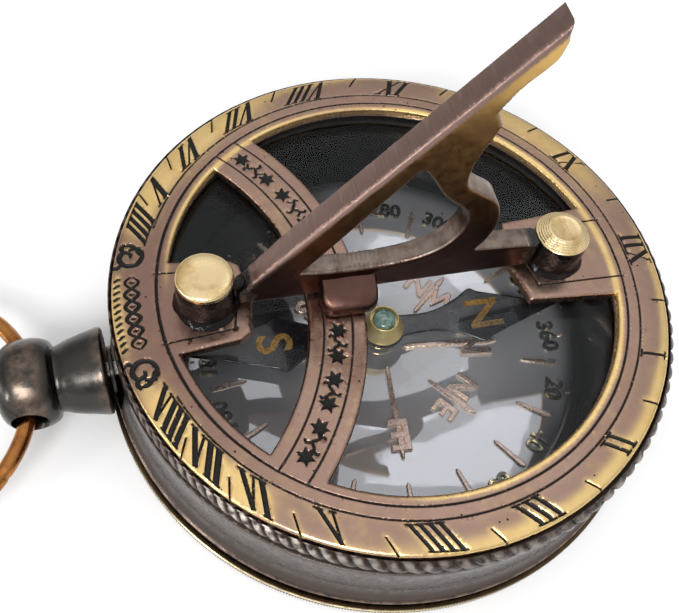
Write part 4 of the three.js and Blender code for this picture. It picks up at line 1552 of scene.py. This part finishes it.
def studio_world():
    """Even pale surroundings, dimmer near the horizon so that metal has something to mirror."""
    world = bpy.data.worlds.new("studio")
    world.use_nodes = True
    bpy.context.scene.world = world
    tree = world.node_tree
    back = tree.nodes["Background"]
    place = tree.nodes.new("ShaderNodeTexCoord")
    split = tree.nodes.new("ShaderNodeSeparateXYZ")
    ramp = tree.nodes.new("ShaderNodeValToRGB")
    tree.links.new(place.outputs["Generated"], split.inputs[0])
    tree.links.new(split.outputs[2], ramp.inputs[0])
    tree.links.new(ramp.outputs[0], back.inputs[0])
    stops = ramp.color_ramp.elements
    stops[0].position, stops[0].color = 0.0, (0.9, 0.9, 0.9, 1)
    stops[1].position, stops[1].color = 1.0, (1.1, 1.1, 1.11, 1)
    for position, value in ((0.2, 0.6), (0.5, 0.6), (0.72, 0.85), (0.86, 1.0)):
        stop = stops.new(position)
        stop.color = (value, value, value * 1.01, 1)
    back.inputs[1].default_value = 1.0
    bpy.context.scene.view_settings.view_transform = "Standard"


def studio_floor():
    mesh = bpy.data.meshes.new("floor")
    side = 1.5
    mesh.from_pydata([(-side, -side, 0), (side, -side, 0), (side, side, 0), (-side, side, 0)], [],
                     [(0, 1, 2, 3)])
    mesh.materials.append(paper_finish())
    floor = bpy.data.objects.new("floor", mesh)
    floor.location.z = design_box[0].z
    bpy.context.scene.collection.objects.link(floor)


def camera():
    """Close above the near left, rolled a little, so that the noon line rises to the right."""
    azimuth, elevation, roll = (math.radians(a) for a in (-22.39, 58.104, 11.195))
    back = Vector((math.sin(azimuth) * math.cos(elevation), -math.cos(azimuth) * math.cos(elevation),
                   math.sin(elevation)))
    right = Vector((math.cos(azimuth), math.sin(azimuth), 0))
    up = back.cross(right)
    right, up = (math.cos(roll) * right + math.sin(roll) * up,
                 math.cos(roll) * up - math.sin(roll) * right)
    data = bpy.data.cameras.new("camera")
    data.sensor_width = 36
    data.lens = 44.935
    data.clip_start, data.clip_end = 0.01, 10
    cam = bpy.data.objects.new("camera", data)
    turn = Matrix((right, up, back)).transposed().to_4x4()
    cam.matrix_world = Matrix.Translation(Vector((-30.995, -57.447, 93.798 + DIAL_TOP)) * MM) @ turn
    bpy.context.scene.collection.objects.link(cam)
    bpy.context.scene.camera = cam


def lights():
    """A large soft key behind the camera, two low lights on the pendant side that glance off the
    gnomon's sloping edge and the rope, and three dim ceiling panels that the card mirrors."""
    softbox("key", (-0.35, -0.75, 0.8), (0, 0, 0), 0.5, 0.4, 9)
    softbox("side", (-0.75, -0.4, 0.24), (0, 0, 0), 0.14, 0.22, 1.6)
    softbox("low", (-0.8, -0.05, 0.075), (0, 0, 0.04), 0.2, 0.1, 0.6)
    panel = 1.05 * math.pi
    for name, x, y, width, depth, turn in (("panel_a", 0.212, 0.192, 0.15, 0.10, -25),
                                           ("panel_b", 0.215, 0.325, 0.10, 0.06, -20),
                                           ("panel_c", 0.010, 0.292, 0.05, 0.03, 0)):
        light = softbox(name, (x, y, 0.6), (x, y, 0), width, depth, panel * width * depth, (0.95, 0.97, 1.0))
        spin = Matrix.Rotation(math.radians(turn), 4, "Z").to_quaternion()
        light.rotation_quaternion = spin @ light.rotation_quaternion


# ---- assembly ----
def paint(finish, *nodes):
    """Gives carried-over design nodes their finish."""
    for name in nodes:
        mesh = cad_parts[name].data
        mesh.materials.clear()
        mesh.materials.append(finish)


def assemble():
    brass = brass_finish("turned_brass", "e6ce9e", "c4a46c", lines=0.35)
    plain_brass = brass_finish("plain_brass", "dcc48e", "b0925a")
    gunmetal = gunmetal_finish("gunmetal", "5a504b", "463e3a")
    stem = gunmetal_finish("stem_gunmetal", "4a4845", "373431")
    # the rope's light worn colour is a painted highlight on its beads
    rope = gunmetal_finish("rope_gunmetal", "3e312a", "2a211c", "e6dad0", 0.36)
    lacquer = lacquer_finish()
    dial_plate(dial_finish())
    base_cover(cover_finish())
    case_body(gunmetal)
    rope_bezel(rope)
    compass_bowl(bowl_finish())
    compass_card(enamel_finish())
    relief = relief_finish()
    card_letters(relief)
    card_ticks(relief)
    card_figures(figure_finish())
    pivot_boss(plain_brass)
    compass_needle(needle_finish())
    needle_letters(gilt_finish())
    needle_hub(hub_finish())
    jewel(jewel_finish())
    crystal(glass_finish())
    for end in ("south", "north"):
        post(end, brass, lacquer)
    bronze = bronze_finish()
    gnomon(bronze)
    stop_foot(bronze)
    pendant_collar(stem)
    pendant_stem(stem)
    bow_ring(copper_finish())
    paint(rubber_finish(), "crystal_gasket")
    paint(lacquer, "gnomon_pin_south", "gnomon_pin_north")
    paint(steel_finish(), "pivot_pin", "pendant_stud")
    paint(plain_brass, "post_screw_south", "post_screw_north", "pendant_nut")


assemble()
studio_world()
studio_floor()
lights()
camera()
